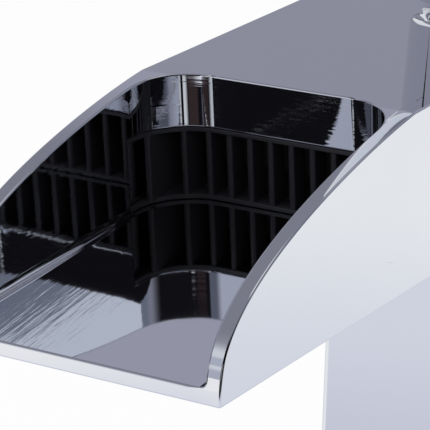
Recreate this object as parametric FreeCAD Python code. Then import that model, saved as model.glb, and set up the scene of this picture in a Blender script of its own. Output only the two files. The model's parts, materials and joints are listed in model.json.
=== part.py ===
"""Single-lever waterfall basin faucet.

Millimetres, +Z up.  The origin is on the deck, on the axis of the cartridge.  The spout reaches
towards -Y, the side where the user stands, and +X is to that user's right.
"""
import FreeCAD, Part
import math
import os

from FreeCAD import Placement, Rotation, Vector

# ---- spout and column ------------------------------------------------------------------------
SPOUT_WIDTH = 48.0            # spout and top of the column, side to side
REACH = 142.0                 # cartridge axis to the front of the lip
LIP_HEIGHT = 96.0             # deck to the flat underside of the spout
RIM_LENGTH = 54.9             # length of the curved side rims, measured along Y
RIM_HEIGHT = 25.9             # height that the rims gain over that length
RIM_FRONT_POWER = 1.18        # superellipse powers of the rim's side profile
RIM_TOP_POWER = 2.66
RIM_STEPS = 14                # spans between the points that the rim's curve goes through
RIM_CROWDING = 1.4            # how much those points crowd towards the lip
TOP_SLOPE = 0.0273            # rise of the top face towards the back, mm per mm
COLUMN_DEPTH = 50.0           # front to back at the spout
COLUMN_FLARE = 3.4            # extra width and depth of the column at the deck
COLUMN_CORNER = 1.5           # radius of the column's upright edges
COLUMN_WALL = 3.0             # wall of the hollow column at the spout
HOLLOW_HEIGHT = 73.0          # deck to the roof of the hollow inside the column
HOLLOW_CORNER = 3.0

# ---- open channel ----------------------------------------------------------------------------
SIDE_WALL = 2.4
LIP_THICKNESS = 2.3
FLOOR_ANGLE = 4.27            # degrees that the floor rises towards the back
CHANNEL_LENGTH = 58.6         # lip to the rear wall, along the floor
CHANNEL_CORNER = 9.6          # radius of the two rear corners, in plan
FLOOR_FILLET = 1.2            # radius between the floor and the walls

# ---- flow grille -----------------------------------------------------------------------------
GRILLE_HEIGHT = 12.2          # floor to the roof of the grille's recess
GRILLE_DEPTH = 4.0            # depth of the recess behind the rear wall
GRILLE_REBATE = 1.0           # depth of the recess in each side wall
GRILLE_FRAME = 1.1            # thickness of the frame's top and bottom bars
GRILLE_LEG = 1.0              # length of each end leg along the straight wall
GRILLE_GAP = 0.1              # clearance round the grille in its recess
RIB_COUNT = 12
RIB_PITCH = 3.72
RIB_THICKNESS = 1.1

# ---- waterways in the casting ----------------------------------------------------------------
DUCT_WALL = 2.6               # brass left on each side of the duct, inside the channel's width
DUCT_FLOOR = 4.0              # brass left under the duct
DUCT_ROOF = 3.6               # brass left over the duct
DUCT_THROAT = 9.5             # length of the narrow throat behind the grille
DUCT_LEDGE = 1.0              # step that stops the grille from sliding back
DUCT_END = 28.0               # cartridge axis to the rear end of the duct
PASSAGE = 6.0                 # width and height of the cast passages
PASSAGE_X = 17.0              # axis of the faucet to the middle of each rising passage
PASSAGE_Y = 18.0
RISER_TURN = 12.0             # underside of the spout to the risers' upper turn
CROSS_DEPTH = 7.0             # cartridge seat down to the gallery under it
INLET_X = 7.0
INLET_Y = 4.0
INLET_RADIUS = 3.0
OUTLET_Y = 8.5
OUTLET_RADIUS = 3.8

# ---- hose sockets ----------------------------------------------------------------------------
SOCKET_THREAD_RADIUS = 4.5    # tapping radius of an M10 x 1 hose thread
SOCKET_THREAD_LENGTH = 12.0
SOCKET_FLATS = 12.4
SOCKET_COLLAR = 1.0           # brass between the thread's end and the socket's top
SOCKET_SEAT = 2.0             # depth of the hexagonal seat in the hollow's roof
SOCKET_GAP = 0.05

# ---- cartridge -------------------------------------------------------------------------------
FACE_SINK = 0.7               # sloping top down to the level face round the cartridge
THREAD_LENGTH = 8.5           # level face to the cartridge's shoulder
SHOULDER_HEIGHT = 26.0        # cartridge seat to the shoulder under the nut
CARTRIDGE_RADIUS = 17.5
POCKET_GAP = 0.1
NECK_RADIUS = 13.6
NECK_HEIGHT = 10.5            # shoulder to the top of the neck
HOUSING_WALL = 1.2
HOUSING_ROOF = 1.6            # thickness of the housing under its shoulder
HOUSING_LIFT = 0.5            # cartridge seat to the housing's lower edge
BASE_GAP = 0.1                # radial clearance of the base in the housing
BASE_THICKNESS = 6.0
DISC_THICKNESS = 3.4
DISC_GAP = 0.3                # radial clearance of the fixed disc in the housing
MOVING_DISC_RADIUS = 11.5
MIXING_DEPTH = 1.8            # hollow in the underside of the moving disc
MIXING_RADIUS = 8.0
CARRIER_RADIUS = 12.2
CARRIER_FLAT = 11.8           # axis to each guiding flat of the carrier
CARRIER_PLATE = 3.0
COLLAR_RADIUS = 5.5
COLLAR_HEIGHT = 3.5
ROTOR_NECK_RADIUS = 12.0
ROTOR_LUG = 2.4
ROTOR_LUG_LENGTH = 10.0
ROTOR_LUG_DEPTH = 3.2
ROTOR_SINK = 1.0              # rotor's top below the top of the housing's neck
RUNNING_GAP = 0.08            # radial running clearance of the rotor and of its guides
FACE_GAP = 0.1                # clearance between faces that slide past each other
PORT_SEAL_WALL = 1.5
PORT_SEAL_HEIGHT = 1.6
SEAL_GAP = 0.05
KEY_WIDTH = 3.4               # locating keys under the cartridge's base
KEY_LENGTH = 2.8
KEY_X = 12.5
KEY_Y = 4.5
KEY_GAP = 0.1
LIMIT_RING_HEIGHT = 2.2
LIMIT_RING_WALL = 1.2

# ---- stem ------------------------------------------------------------------------------------
PIVOT_DEPTH = 2.0             # level face down to the pivot pin
HALF_LIFT = 12.5              # the stem leans this far forward when closed, degrees
STEM_WIDTH = 7.0
STEM_DEPTH = 6.6
STEM_GAP = 0.1                # clearance of the stem in the rotor's slot and the hub's socket
STEM_TOP = 29.0               # pivot to the stem's top
TOE_DROP = 14.5               # pivot to the centre of the stem's round toe
TOE_RADIUS = 2.8
TOE_GAP = 0.12
TOE_NECK = 4.4                # width of the neck between the stem's bar and its toe
TOE_NECK_LENGTH = 4.5
PIN_RADIUS = 1.5
PIN_GAP = 0.03
STEM_SWING = 3.4              # room in front of and behind the stem in the rotor's slot

# ---- retaining nut and bonnet ----------------------------------------------------------------
NUT_RADIUS = 18.5
THREAD_GAP = 0.05
NUT_COLLAR_RADIUS = 16.9
NUT_COLLAR_HEIGHT = 3.5
NUT_NOTCHES = 4
NUT_NOTCH_WIDTH = 3.6
NUT_NOTCH_DEPTH = 1.6
BONNET_RADIUS = 20.0          # pivot to the corners of the bonnet's profile
BONNET_ANGLES = (18, 39, 61)  # of those corners above the pivot, degrees
BONNET_WALL = 1.7
BONNET_OPENING = 9.0
BONNET_SEAT_GAP = 0.3

# ---- handle ----------------------------------------------------------------------------------
HUB_RADIUS = 18.0
HUB_GAP = 0.4                 # bonnet's corners to the hollow of the hub
HUB_RIM_ANGLE = 52.0          # rim of that hollow, from the stem's axis, degrees
HUB_CONE_ANGLE = 40.0         # place where the hollow's cone comes closest to the bonnet
HUB_TOP = 35.0                # pivot to the hub's sloping top, on the axis
SOCKET_TOP_GAP = 0.3
ARM_RISE = 8.0                # rise of the arm when the lever is closed, degrees
ARM_LENGTH = 78.0
ARM_ROOT_WIDTH = 17.0
ARM_TIP_WIDTH = 13.0
ARM_ROOT_THICKNESS = 6.2
ARM_TIP_THICKNESS = 4.2
SCREW_HEIGHT = 24.5           # pivot to the clamping screw
SCREW_RADIUS = 2.0
SCREW_LENGTH = 7.0
SCREW_GAP = 0.05
SCREW_SOCKET_RADIUS = 1.15
SCREW_SOCKET_DEPTH = 2.0
PLUG_RADIUS = 3.5
PLUG_LENGTH = 5.0
PLUG_PROUD = 0.2
PLUG_GAP = 0.05

# ---- deck fixing -----------------------------------------------------------------------------
DECK_THICKNESS = 20.0         # deck that the fixing is drawn clamped to
GASKET_INSET = 1.0
GASKET_WIDTH = 2.6
GASKET_THICKNESS = 1.5
GASKET_GAP = 0.05
STUD_RADIUS = 4.0
STUD_Y = -12.5
STUD_LENGTH = 66.0
STUD_ENGAGEMENT = 15.0
BOSS_RADIUS = 7.0
BOSS_LIFT = 6.0               # deck to the lower end of the stud's boss
WASHER_RADIUS = 24.0
WASHER_SLOT_RADIUS = 12.5
WASHER_SLOT_Y = 7.0
WASHER_HOLE_GAP = 0.3
RUBBER_THICKNESS = 3.0
STEEL_THICKNESS = 2.0
STUD_NUT_FLATS = 13.0
STUD_NUT_HEIGHT = 12.0

# ---- places worked out from the sizes --------------------------------------------------------
X_AXIS = Vector(1, 0, 0)
Y_AXIS = Vector(0, 1, 0)
Z_AXIS = Vector(0, 0, 1)
OVER = 1.0                    # how far a cutter runs past the face that it opens
NEAR = 1e-3                   # how close a point counts as lying on a face

HALF_WIDTH = SPOUT_WIDTH / 2
HALF_CHANNEL = HALF_WIDTH - SIDE_WALL
RIM_TOP = RIM_HEIGHT + TOP_SLOPE * RIM_LENGTH
COLUMN_BACK = COLUMN_DEPTH / 2


def top_at(y):
    """Height of the sloping top face at a place along the spout."""
    return LIP_HEIGHT + RIM_TOP + TOP_SLOPE * (y + REACH - RIM_LENGTH)


FACE_Z = top_at(0) - FACE_SINK
SHOULDER_Z = FACE_Z - THREAD_LENGTH
SEAT_Z = SHOULDER_Z - SHOULDER_HEIGHT
NECK_Z = SHOULDER_Z + NECK_HEIGHT
CROSS_Z = SEAT_Z - CROSS_DEPTH
PIVOT_Z = FACE_Z - PIVOT_DEPTH
SOCKET_TOP = HOLLOW_HEIGHT + SOCKET_SEAT
SOCKET_THREAD_TOP = SOCKET_TOP - SOCKET_COLLAR
FIXED_DISC_Z = SEAT_Z + BASE_THICKNESS
MOVING_DISC_Z = FIXED_DISC_Z + DISC_THICKNESS
CARRIER_Z = MOVING_DISC_Z + DISC_THICKNESS
ROTOR_Z = CARRIER_Z + CARRIER_PLATE + FACE_GAP
ROTOR_TOP_Z = NECK_Z - ROTOR_SINK
HOUSING_BORE = CARTRIDGE_RADIUS - HOUSING_WALL
ROTOR_RADIUS = HOUSING_BORE - RUNNING_GAP
DISC_SHIFT = TOE_DROP * math.sin(math.radians(HALF_LIFT))
HUB_HOLLOW = BONNET_RADIUS + HUB_GAP
DUCT_HALF = HALF_CHANNEL - DUCT_WALL
RECESS_HALF = HALF_CHANNEL + GRILLE_REBATE
RECESS_FRONT = CHANNEL_LENGTH - CHANNEL_CORNER - GRILLE_LEG
RECESS_BACK = CHANNEL_LENGTH + GRILLE_DEPTH

# Channel floor: its own X, Y along the floor and Z square to it, from the middle of the lip.
FLOOR = Placement(Vector(0, -REACH, LIP_HEIGHT + LIP_THICKNESS), Rotation(X_AXIS, FLOOR_ANGLE))
# Lever, drawn about its pivot with the stem upright, and its place when the water is shut.
CLOSED = Placement(Vector(0, 0, PIVOT_Z), Rotation(X_AXIS, HALF_LIFT))


# ---- plain forms -----------------------------------------------------------------------------
def block(x0, x1, y0, y1, z0, z1):
    """Box between two corners."""
    return Part.makeBox(x1 - x0, y1 - y0, z1 - z0, Vector(x0, y0, z0))


def rod(radius, z0, z1, x=0.0, y=0.0):
    """Upright cylinder."""
    return Part.makeCylinder(radius, z1 - z0, Vector(x, y, z0))


def rod_x(radius, half_length, y=0.0, z=0.0):
    """Cylinder across the faucet, centred on X = 0."""
    return Part.makeCylinder(radius, 2 * half_length, Vector(-half_length, y, z), X_AXIS)


def rod_y(radius, y0, y1, x=0.0, z=0.0):
    """Cylinder from front to back."""
    return Part.makeCylinder(radius, y1 - y0, Vector(x, y0, z), Y_AXIS)


def rod_between(radius, start, end):
    """Cylinder from one point to another."""
    run = end.sub(start)
    return Part.makeCylinder(radius, run.Length, start, run)


def ring(outer, inner, z0, z1, x=0.0, y=0.0):
    """Upright ring of rectangular section."""
    return rod(outer, z0, z1, x, y).cut(rod(inner, z0 - OVER, z1 + OVER, x, y))


def rounded_outline(width, depth, corner, z):
    """Closed rectangle with rounded corners, centred on the axis."""
    a, b = width / 2, depth / 2
    k = corner * (1 - math.sqrt(0.5))
    edges = []
    for turn in range(4):
        sx, sy = ((1, 1), (-1, 1), (-1, -1), (1, -1))[turn]
        side = Vector(sx * a, sy * (b - corner), z)
        end = Vector(sx * (a - corner), sy * b, z)
        middle = Vector(sx * (a - k), sy * (b - k), z)
        first, last = (side, end) if sx * sy > 0 else (end, side)
        edges.append(Part.Arc(first, middle, last).toShape())
    corners = [(edge.valueAt(edge.FirstParameter), edge.valueAt(edge.LastParameter))
               for edge in edges]
    outline = []
    for index, edge in enumerate(edges):
        outline.append(edge)
        outline.append(Part.makeLine(corners[index][1], corners[(index + 1) % 4][0]))
    return Part.Wire(outline)


def rounded_block(width, depth, corner, z0, z1):
    """Upright prism on a rounded rectangle."""
    return Part.Face(rounded_outline(width, depth, corner, z0)).extrude(Z_AXIS * (z1 - z0))


def profile_across(points, half_width):
    """Prism across the faucet from a closed outline of (y, z) points."""
    corners = [Vector(-half_width, y, z) for y, z in points]
    face = Part.Face(Part.makePolygon(corners + corners[:1]))
    return face.extrude(X_AXIS * (2 * half_width))


def both_sides(shape):
    """A shape and its mirror image in the faucet's middle plane."""
    return shape.fuse(shape.mirror(Vector(0, 0, 0), X_AXIS))


def revolved(points):
    """Solid of revolution about the Z axis from a closed outline of (radius, z) points."""
    corners = [Vector(radius, 0, z) for radius, z in points]
    face = Part.Face(Part.makePolygon(corners + corners[:1]))
    return face.revolve(Vector(0, 0, 0), Z_AXIS, 360)


def hexagon_prism(flat_radius, height):
    """Upright hexagonal prism from Z = 0."""
    reach = flat_radius / math.cos(math.pi / 6)
    corners = [Vector(reach * math.cos(math.pi / 3 * i), reach * math.sin(math.pi / 3 * i), 0)
               for i in range(6)]
    return Part.Face(Part.makePolygon(corners + corners[:1])).extrude(Z_AXIS * height)


def edges_where(shape, test):
    """Edges whose ends and middle all pass a test."""
    found = []
    for edge in shape.Edges:
        first, last = edge.FirstParameter, edge.LastParameter
        places = [edge.valueAt(first + (last - first) * part) for part in (0, 0.5, 1)]
        if all(test(place) for place in places):
            found.append(edge)
    return found


# ---- casting ---------------------------------------------------------------------------------
def rim_curve():
    """Side profile of the rim, a superellipse that stands on the lip and leans into the top.

    y = length * (1 - cos(u) ** (2 / front power)), z = height * sin(u) ** (2 / top power) plus
    the slope of the top, for u from 0 to a quarter turn.
    """
    points = []
    for step in range(RIM_STEPS + 1):
        u = math.pi / 2 * (step / RIM_STEPS) ** RIM_CROWDING
        y = RIM_LENGTH * (1 - max(math.cos(u), 0) ** (2 / RIM_FRONT_POWER))
        z = RIM_HEIGHT * math.sin(u) ** (2 / RIM_TOP_POWER) + TOP_SLOPE * y
        points.append(Vector(-HALF_WIDTH, y - REACH, LIP_HEIGHT + z))
    curve = Part.BSplineCurve()
    curve.interpolate(points)
    return curve.toShape()


def beam_block():
    """Spout and column head in one length, before anything is cut."""
    rim = rim_curve()
    lip, shoulder = rim.valueAt(rim.FirstParameter), rim.valueAt(rim.LastParameter)
    back_top = Vector(-HALF_WIDTH, COLUMN_BACK, top_at(COLUMN_BACK))
    back_low = Vector(-HALF_WIDTH, COLUMN_BACK, LIP_HEIGHT)
    outline = [rim, Part.makeLine(shoulder, back_top), Part.makeLine(back_top, back_low),
               Part.makeLine(back_low, lip)]
    solid = Part.Face(Part.Wire(outline)).extrude(X_AXIS * SPOUT_WIDTH)
    uprights = edges_where(solid, lambda p: p.y > COLUMN_BACK - NEAR and abs(p.x) > HALF_WIDTH - NEAR)
    return solid.makeFillet(COLUMN_CORNER, uprights)


def column_block():
    """Column, a little wider at the deck."""
    foot = rounded_outline(SPOUT_WIDTH + COLUMN_FLARE, COLUMN_DEPTH + COLUMN_FLARE,
                           COLUMN_CORNER, 0)
    head = rounded_outline(SPOUT_WIDTH, COLUMN_DEPTH, COLUMN_CORNER, LIP_HEIGHT)
    return Part.makeLoft([foot, head], True, True)


def channel_prism(depth_below=0.0):
    """Space of the open channel in floor coordinates, with rounded rear corners."""
    a, r, length = HALF_CHANNEL, CHANNEL_CORNER, CHANNEL_LENGTH
    k = r * (1 - math.sqrt(0.5))
    front = -CHANNEL_CORNER
    z = -depth_below
    wire = Part.Wire([
        Part.makeLine(Vector(-a, front, z), Vector(-a, length - r, z)),
        Part.Arc(Vector(-a, length - r, z), Vector(k - a, length - k, z),
                 Vector(r - a, length, z)).toShape(),
        Part.makeLine(Vector(r - a, length, z), Vector(a - r, length, z)),
        Part.Arc(Vector(a - r, length, z), Vector(a - k, length - k, z),
                 Vector(a, length - r, z)).toShape(),
        Part.makeLine(Vector(a, length - r, z), Vector(a, front, z)),
        Part.makeLine(Vector(a, front, z), Vector(-a, front, z)),
    ])
    return Part.Face(wire).extrude(Z_AXIS * (RIM_TOP + 2 * depth_below))


def channel_cutter():
    """Channel with a fillet all along the foot of its walls."""
    prism = channel_prism()
    foot = edges_where(prism, lambda p: abs(p.z) < NEAR)
    foot = [edge for edge in foot if edge.CenterOfMass.y > NEAR - CHANNEL_CORNER]
    cutter = prism.makeFillet(FLOOR_FILLET, foot)
    cutter.Placement = FLOOR
    return cutter


def grille_recess(gap=0.0):
    """Recess of the grille in floor coordinates, drawn in by a clearance."""
    half = RECESS_HALF - gap
    return block(-half, half, RECESS_FRONT + gap, RECESS_BACK - gap, gap, GRILLE_HEIGHT - gap)


def duct_cutter():
    """Duct from behind the grille to the risers, with a narrow throat at the front."""
    throat_front = RECESS_BACK - OVER
    throat_back = RECESS_BACK + DUCT_THROAT
    low, high = DUCT_LEDGE, GRILLE_HEIGHT - DUCT_LEDGE
    mouth_low = FLOOR.multVec(Vector(0, throat_front, low))
    mouth_high = FLOOR.multVec(Vector(0, throat_front, high))
    back_y = FLOOR.multVec(Vector(0, throat_back, 0)).y
    floor_z = LIP_HEIGHT + DUCT_FLOOR
    return profile_across([
        (mouth_low.y, mouth_low.z),
        (back_y, floor_z),
        (-DUCT_END, floor_z),
        (-DUCT_END, top_at(-DUCT_END) - DUCT_ROOF),
        (back_y, top_at(back_y) - DUCT_ROOF),
        (mouth_high.y, mouth_high.z),
    ], DUCT_HALF)


def passage_cutter():
    """Cast passages from under the cartridge, up the column's front corners and into the duct."""
    half = PASSAGE / 2
    low, high = CROSS_Z - half, CROSS_Z + half
    turn_z = LIP_HEIGHT + RISER_TURN
    front, back = -PASSAGE_Y - half, half - PASSAGE_Y
    gallery = block(-PASSAGE_X - half, PASSAGE_X + half, front, back, low, high)
    feed = block(-OUTLET_RADIUS, OUTLET_RADIUS, front, OUTLET_RADIUS - OUTLET_Y, low, high)
    riser = block(PASSAGE_X - half, PASSAGE_X + half, front, back, low, turn_z + half)
    turn = block(PASSAGE_X - half, PASSAGE_X + half, -DUCT_END - OVER, back,
                 turn_z - half, turn_z + half)
    drop = rod(OUTLET_RADIUS, CROSS_Z, SEAT_Z + OVER, 0, -OUTLET_Y)
    return both_sides(riser.fuse(turn)).fuse([gallery, feed, drop])


def cartridge_pocket():
    """Stepped bore that takes the cartridge, the nut's thread and the bonnet's seat."""
    pocket = rod(CARTRIDGE_RADIUS + POCKET_GAP, SEAT_Z, FACE_Z)
    thread = rod(NUT_RADIUS + THREAD_GAP, SHOULDER_Z, FACE_Z)
    face = rod(BONNET_RADIUS + BONNET_SEAT_GAP, FACE_Z, top_at(BONNET_RADIUS) + OVER)
    return pocket.fuse([thread, face, locating_keys(KEY_GAP, SEAT_Z + OVER)])


def locating_keys(gap, top):
    """Two square keys under the cartridge's base, or their seats in the column."""
    half = KEY_WIDTH / 2 + gap
    return both_sides(block(KEY_X - half, KEY_X + half, -KEY_Y - half, half - KEY_Y,
                            SEAT_Z - KEY_LENGTH - gap, top))


def inlet_cutter():
    """Seats of the hose sockets in the roof of the hollow, and bores up to the cartridge."""
    seat = hexagon_prism(SOCKET_FLATS / 2 + SOCKET_GAP, SOCKET_SEAT + OVER)
    seat.translate(Vector(INLET_X, INLET_Y, HOLLOW_HEIGHT - OVER))
    bore = rod(INLET_RADIUS, HOLLOW_HEIGHT, SEAT_Z + OVER, INLET_X, INLET_Y)
    return both_sides(seat.fuse(bore))


def column_hollow():
    """Hollow of the column, open to the deck, round the boss that takes the stud."""
    width, depth = SPOUT_WIDTH - 2 * COLUMN_WALL, COLUMN_DEPTH - 2 * COLUMN_WALL
    hollow = rounded_block(width, depth, HOLLOW_CORNER, -OVER, HOLLOW_HEIGHT)
    boss = rod(BOSS_RADIUS, BOSS_LIFT, HOLLOW_HEIGHT + OVER, 0, STUD_Y)
    web = block(-BOSS_RADIUS / 2, BOSS_RADIUS / 2, -depth / 2 - OVER, STUD_Y,
                BOSS_LIFT, HOLLOW_HEIGHT + OVER)
    return hollow.cut(boss.fuse(web))


def gasket_ring(gap, z0, z1):
    """Rounded frame just inside the column's foot."""
    width = SPOUT_WIDTH + COLUMN_FLARE - 2 * GASKET_INSET
    depth = COLUMN_DEPTH + COLUMN_FLARE - 2 * GASKET_INSET
    outer = rounded_block(width - 2 * gap, depth - 2 * gap, COLUMN_CORNER, z0, z1)
    inner = rounded_block(width - 2 * GASKET_WIDTH + 2 * gap, depth - 2 * GASKET_WIDTH + 2 * gap,
                          COLUMN_CORNER, z0 - OVER, z1 + OVER)
    return outer.cut(inner)


def spout_length():
    """Room in front of the column, where the beam belongs to the spout."""
    return block(-SPOUT_WIDTH, SPOUT_WIDTH, -REACH - OVER, -COLUMN_BACK, 0, 2 * LIP_HEIGHT)


def spout():
    """Beam with the open channel, the grille's recess and the duct, soldered to the column."""
    recess = grille_recess()
    recess.Placement = FLOOR
    beam = beam_block().common(spout_length())
    return beam.cut([channel_cutter(), recess, duct_cutter(), passage_cutter()]).removeSplitter()


def column():
    """Hollow column with the cartridge's pocket in its head and the stud's boss in its foot."""
    stud_hole = rod(STUD_RADIUS + THREAD_GAP, BOSS_LIFT - OVER, BOSS_LIFT + STUD_ENGAGEMENT + OVER,
                    0, STUD_Y)
    cutters = [passage_cutter(), cartridge_pocket(), inlet_cutter(), column_hollow(), stud_hole,
               gasket_ring(0, -OVER, GASKET_THICKNESS)]
    head = beam_block().cut(spout_length())
    return head.fuse(column_block()).cut(cutters).removeSplitter()


def inlet_sockets():
    """Two hexagonal brass sockets with the threads for the hoses."""
    low = SOCKET_THREAD_TOP - SOCKET_THREAD_LENGTH
    sockets = []
    for x in (-INLET_X, INLET_X):
        body = hexagon_prism(SOCKET_FLATS / 2, SOCKET_TOP - low)
        body.translate(Vector(x, INLET_Y, low))
        thread = rod(SOCKET_THREAD_RADIUS, low - OVER, SOCKET_THREAD_TOP, x, INLET_Y)
        bore = rod(INLET_RADIUS, low, SOCKET_TOP + OVER, x, INLET_Y)
        sockets.append(body.cut([thread, bore]))
    return Part.makeCompound(sockets)


# ---- flow grille -----------------------------------------------------------------------------
def flow_grille():
    """Row of upright fins in a frame whose front follows the channel's rounded rear wall."""
    solid = grille_recess(GRILLE_GAP).cut(channel_prism(OVER))
    first = -RIB_PITCH * (RIB_COUNT - 1) / 2
    half_slot = (RIB_PITCH - RIB_THICKNESS) / 2
    slots = []
    for index in range(RIB_COUNT - 1):
        middle = first + RIB_PITCH * (index + 0.5)
        slots.append(block(middle - half_slot, middle + half_slot, 0, RECESS_BACK + OVER,
                           GRILLE_FRAME, GRILLE_HEIGHT - GRILLE_FRAME))
    grille = solid.cut(slots)
    grille.Placement = FLOOR
    return grille


# ---- cartridge -------------------------------------------------------------------------------
def ports(radius_in, radius_out, z0, z1):
    """The two inlet ports and the outlet port as upright rods."""
    inlets = [rod(radius_in, z0, z1, side * INLET_X, INLET_Y) for side in (-1, 1)]
    return inlets + [rod(radius_out, z0, z1, 0, -OUTLET_Y)]


def port_seals():
    """One rubber ring round each port, under the cartridge's base."""
    high = SEAT_Z + PORT_SEAL_HEIGHT
    outer = ports(INLET_RADIUS + PORT_SEAL_WALL - SEAL_GAP, OUTLET_RADIUS + PORT_SEAL_WALL - SEAL_GAP,
                  SEAT_Z, high)
    inner = ports(INLET_RADIUS, OUTLET_RADIUS, SEAT_Z - OVER, high + OVER)
    return Part.makeCompound([rim.cut(bore) for rim, bore in zip(outer, inner)])


def cartridge_base():
    """Plastic base with three ports, seal grooves under it and two locating keys."""
    top = SEAT_Z + BASE_THICKNESS
    solid = rod(HOUSING_BORE - BASE_GAP, SEAT_Z, top).fuse(locating_keys(0, SEAT_Z))
    cutters = ports(INLET_RADIUS, OUTLET_RADIUS, SEAT_Z - OVER, top + OVER)
    cutters += ports(INLET_RADIUS + PORT_SEAL_WALL, OUTLET_RADIUS + PORT_SEAL_WALL,
                     SEAT_Z - OVER, SEAT_Z + PORT_SEAL_HEIGHT)
    return solid.cut(cutters)


def cartridge_housing():
    """Cup over the discs with a shoulder for the nut and a neck for the rotor."""
    low = SEAT_Z + HOUSING_LIFT
    solid = rod(CARTRIDGE_RADIUS, low, SHOULDER_Z).fuse(rod(NECK_RADIUS, SHOULDER_Z, NECK_Z))
    bore = rod(HOUSING_BORE, low - OVER, SHOULDER_Z - HOUSING_ROOF)
    neck_bore = rod(ROTOR_NECK_RADIUS + RUNNING_GAP, SHOULDER_Z - HOUSING_ROOF - OVER, NECK_Z + OVER)
    return solid.cut([bore, neck_bore])


def fixed_disc():
    """Ceramic disc with two inlet ports and one outlet port."""
    solid = rod(HOUSING_BORE - DISC_GAP, FIXED_DISC_Z, MOVING_DISC_Z)
    return solid.cut(ports(INLET_RADIUS, OUTLET_RADIUS, FIXED_DISC_Z - OVER, MOVING_DISC_Z + OVER))


def moving_disc():
    """Ceramic disc with the mixing hollow in its underside, shifted back when shut."""
    solid = rod(MOVING_DISC_RADIUS, MOVING_DISC_Z, CARRIER_Z, 0, DISC_SHIFT)
    return solid.cut(rod(MIXING_RADIUS, MOVING_DISC_Z - OVER, MOVING_DISC_Z + MIXING_DEPTH,
                         0, DISC_SHIFT))


def disc_carrier():
    """Plate that carries the moving disc, with flats for guides and a socket for the toe."""
    top = CARRIER_Z + CARRIER_PLATE
    plate = rod(CARRIER_RADIUS, CARRIER_Z, top, 0, DISC_SHIFT)
    sides = block(-CARRIER_FLAT, CARRIER_FLAT, -2 * CARRIER_RADIUS, 2 * CARRIER_RADIUS, CARRIER_Z, top)
    collar = rod(COLLAR_RADIUS, top, top + COLLAR_HEIGHT, 0, DISC_SHIFT)
    half = TOE_RADIUS + TOE_GAP
    socket = block(-half, half, DISC_SHIFT - half, DISC_SHIFT + half,
                   PIVOT_Z - TOE_DROP - TOE_RADIUS - FACE_GAP, top + COLLAR_HEIGHT + OVER)
    return plate.common(sides).fuse(collar).cut(socket)


def rotor():
    """Guide that turns in the housing, slotted for the stem and lugged for the carrier."""
    flange_top = SHOULDER_Z - HOUSING_ROOF - FACE_GAP
    flange = rod(ROTOR_RADIUS, ROTOR_Z, flange_top)
    neck = rod(ROTOR_NECK_RADIUS, flange_top, ROTOR_TOP_Z)
    lug_x = CARRIER_FLAT + RUNNING_GAP
    lug = block(lug_x, lug_x + ROTOR_LUG, -ROTOR_LUG_LENGTH / 2, ROTOR_LUG_LENGTH / 2,
                ROTOR_Z - ROTOR_LUG_DEPTH, ROTOR_Z)
    half_x, half_y = STEM_WIDTH / 2 + STEM_GAP, STEM_DEPTH / 2 + STEM_SWING
    slot = block(-half_x, half_x, -half_y, half_y, ROTOR_Z - OVER, ROTOR_TOP_Z + OVER)
    well_x, well_y = COLLAR_RADIUS + TOE_GAP, COLLAR_RADIUS + DISC_SHIFT + TOE_GAP
    well = block(-well_x, well_x, -well_y, well_y, ROTOR_Z - OVER, ROTOR_Z + COLLAR_HEIGHT + TOE_GAP)
    pin_hole = rod_x(PIN_RADIUS, ROTOR_RADIUS, 0, PIVOT_Z)
    return flange.fuse([neck, lug, lug.mirror(Vector(0, 0, 0), X_AXIS)]).cut([slot, well, pin_hole])


def stem_pin():
    """Steel pin on which the stem tilts, held in the rotor's neck."""
    return rod_x(PIN_RADIUS, ROTOR_NECK_RADIUS - RUNNING_GAP, 0, PIVOT_Z)


def limit_ring():
    """Hot-water limit ring on top of the housing's neck."""
    inner = ROTOR_NECK_RADIUS + RUNNING_GAP
    return ring(inner + LIMIT_RING_WALL, inner, NECK_Z, NECK_Z + LIMIT_RING_HEIGHT)


def retaining_nut():
    """Threaded ring that presses the cartridge down, notched for its key."""
    top = FACE_Z + NUT_COLLAR_HEIGHT
    solid = rod(NUT_RADIUS, SHOULDER_Z, FACE_Z).fuse(rod(NUT_COLLAR_RADIUS, FACE_Z, top))
    cutters = [rod(NECK_RADIUS + POCKET_GAP, SHOULDER_Z - OVER, top + OVER)]
    for index in range(NUT_NOTCHES):
        notch = block(0, NUT_RADIUS, -NUT_NOTCH_WIDTH / 2, NUT_NOTCH_WIDTH / 2,
                      top - NUT_NOTCH_DEPTH, top + OVER)
        notch.rotate(Vector(0, 0, 0), Z_AXIS, 360 / NUT_NOTCHES * index)
        cutters.append(notch)
    return solid.cut(cutters)


# ---- bonnet ----------------------------------------------------------------------------------
def bonnet():
    """Turned cover screwed on the nut, with two cones under the hub and an opening for the stem."""
    angles = [math.radians(angle) for angle in BONNET_ANGLES]
    outer = [(BONNET_RADIUS * math.cos(a), BONNET_RADIUS * math.sin(a)) for a in angles]
    within = BONNET_RADIUS - BONNET_WALL
    inner = [(within * math.cos(a), within * math.sin(a)) for a in angles]
    bore = NUT_COLLAR_RADIUS + THREAD_GAP
    low = FACE_Z - PIVOT_Z
    profile = [(outer[0][0], low)] + outer + [(BONNET_OPENING, outer[2][1]), (BONNET_OPENING, inner[2][1]),
                                              inner[1], (bore, inner[0][1]), (bore, low)]
    solid = revolved(profile)
    solid.translate(Vector(0, 0, PIVOT_Z))
    return solid


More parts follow.
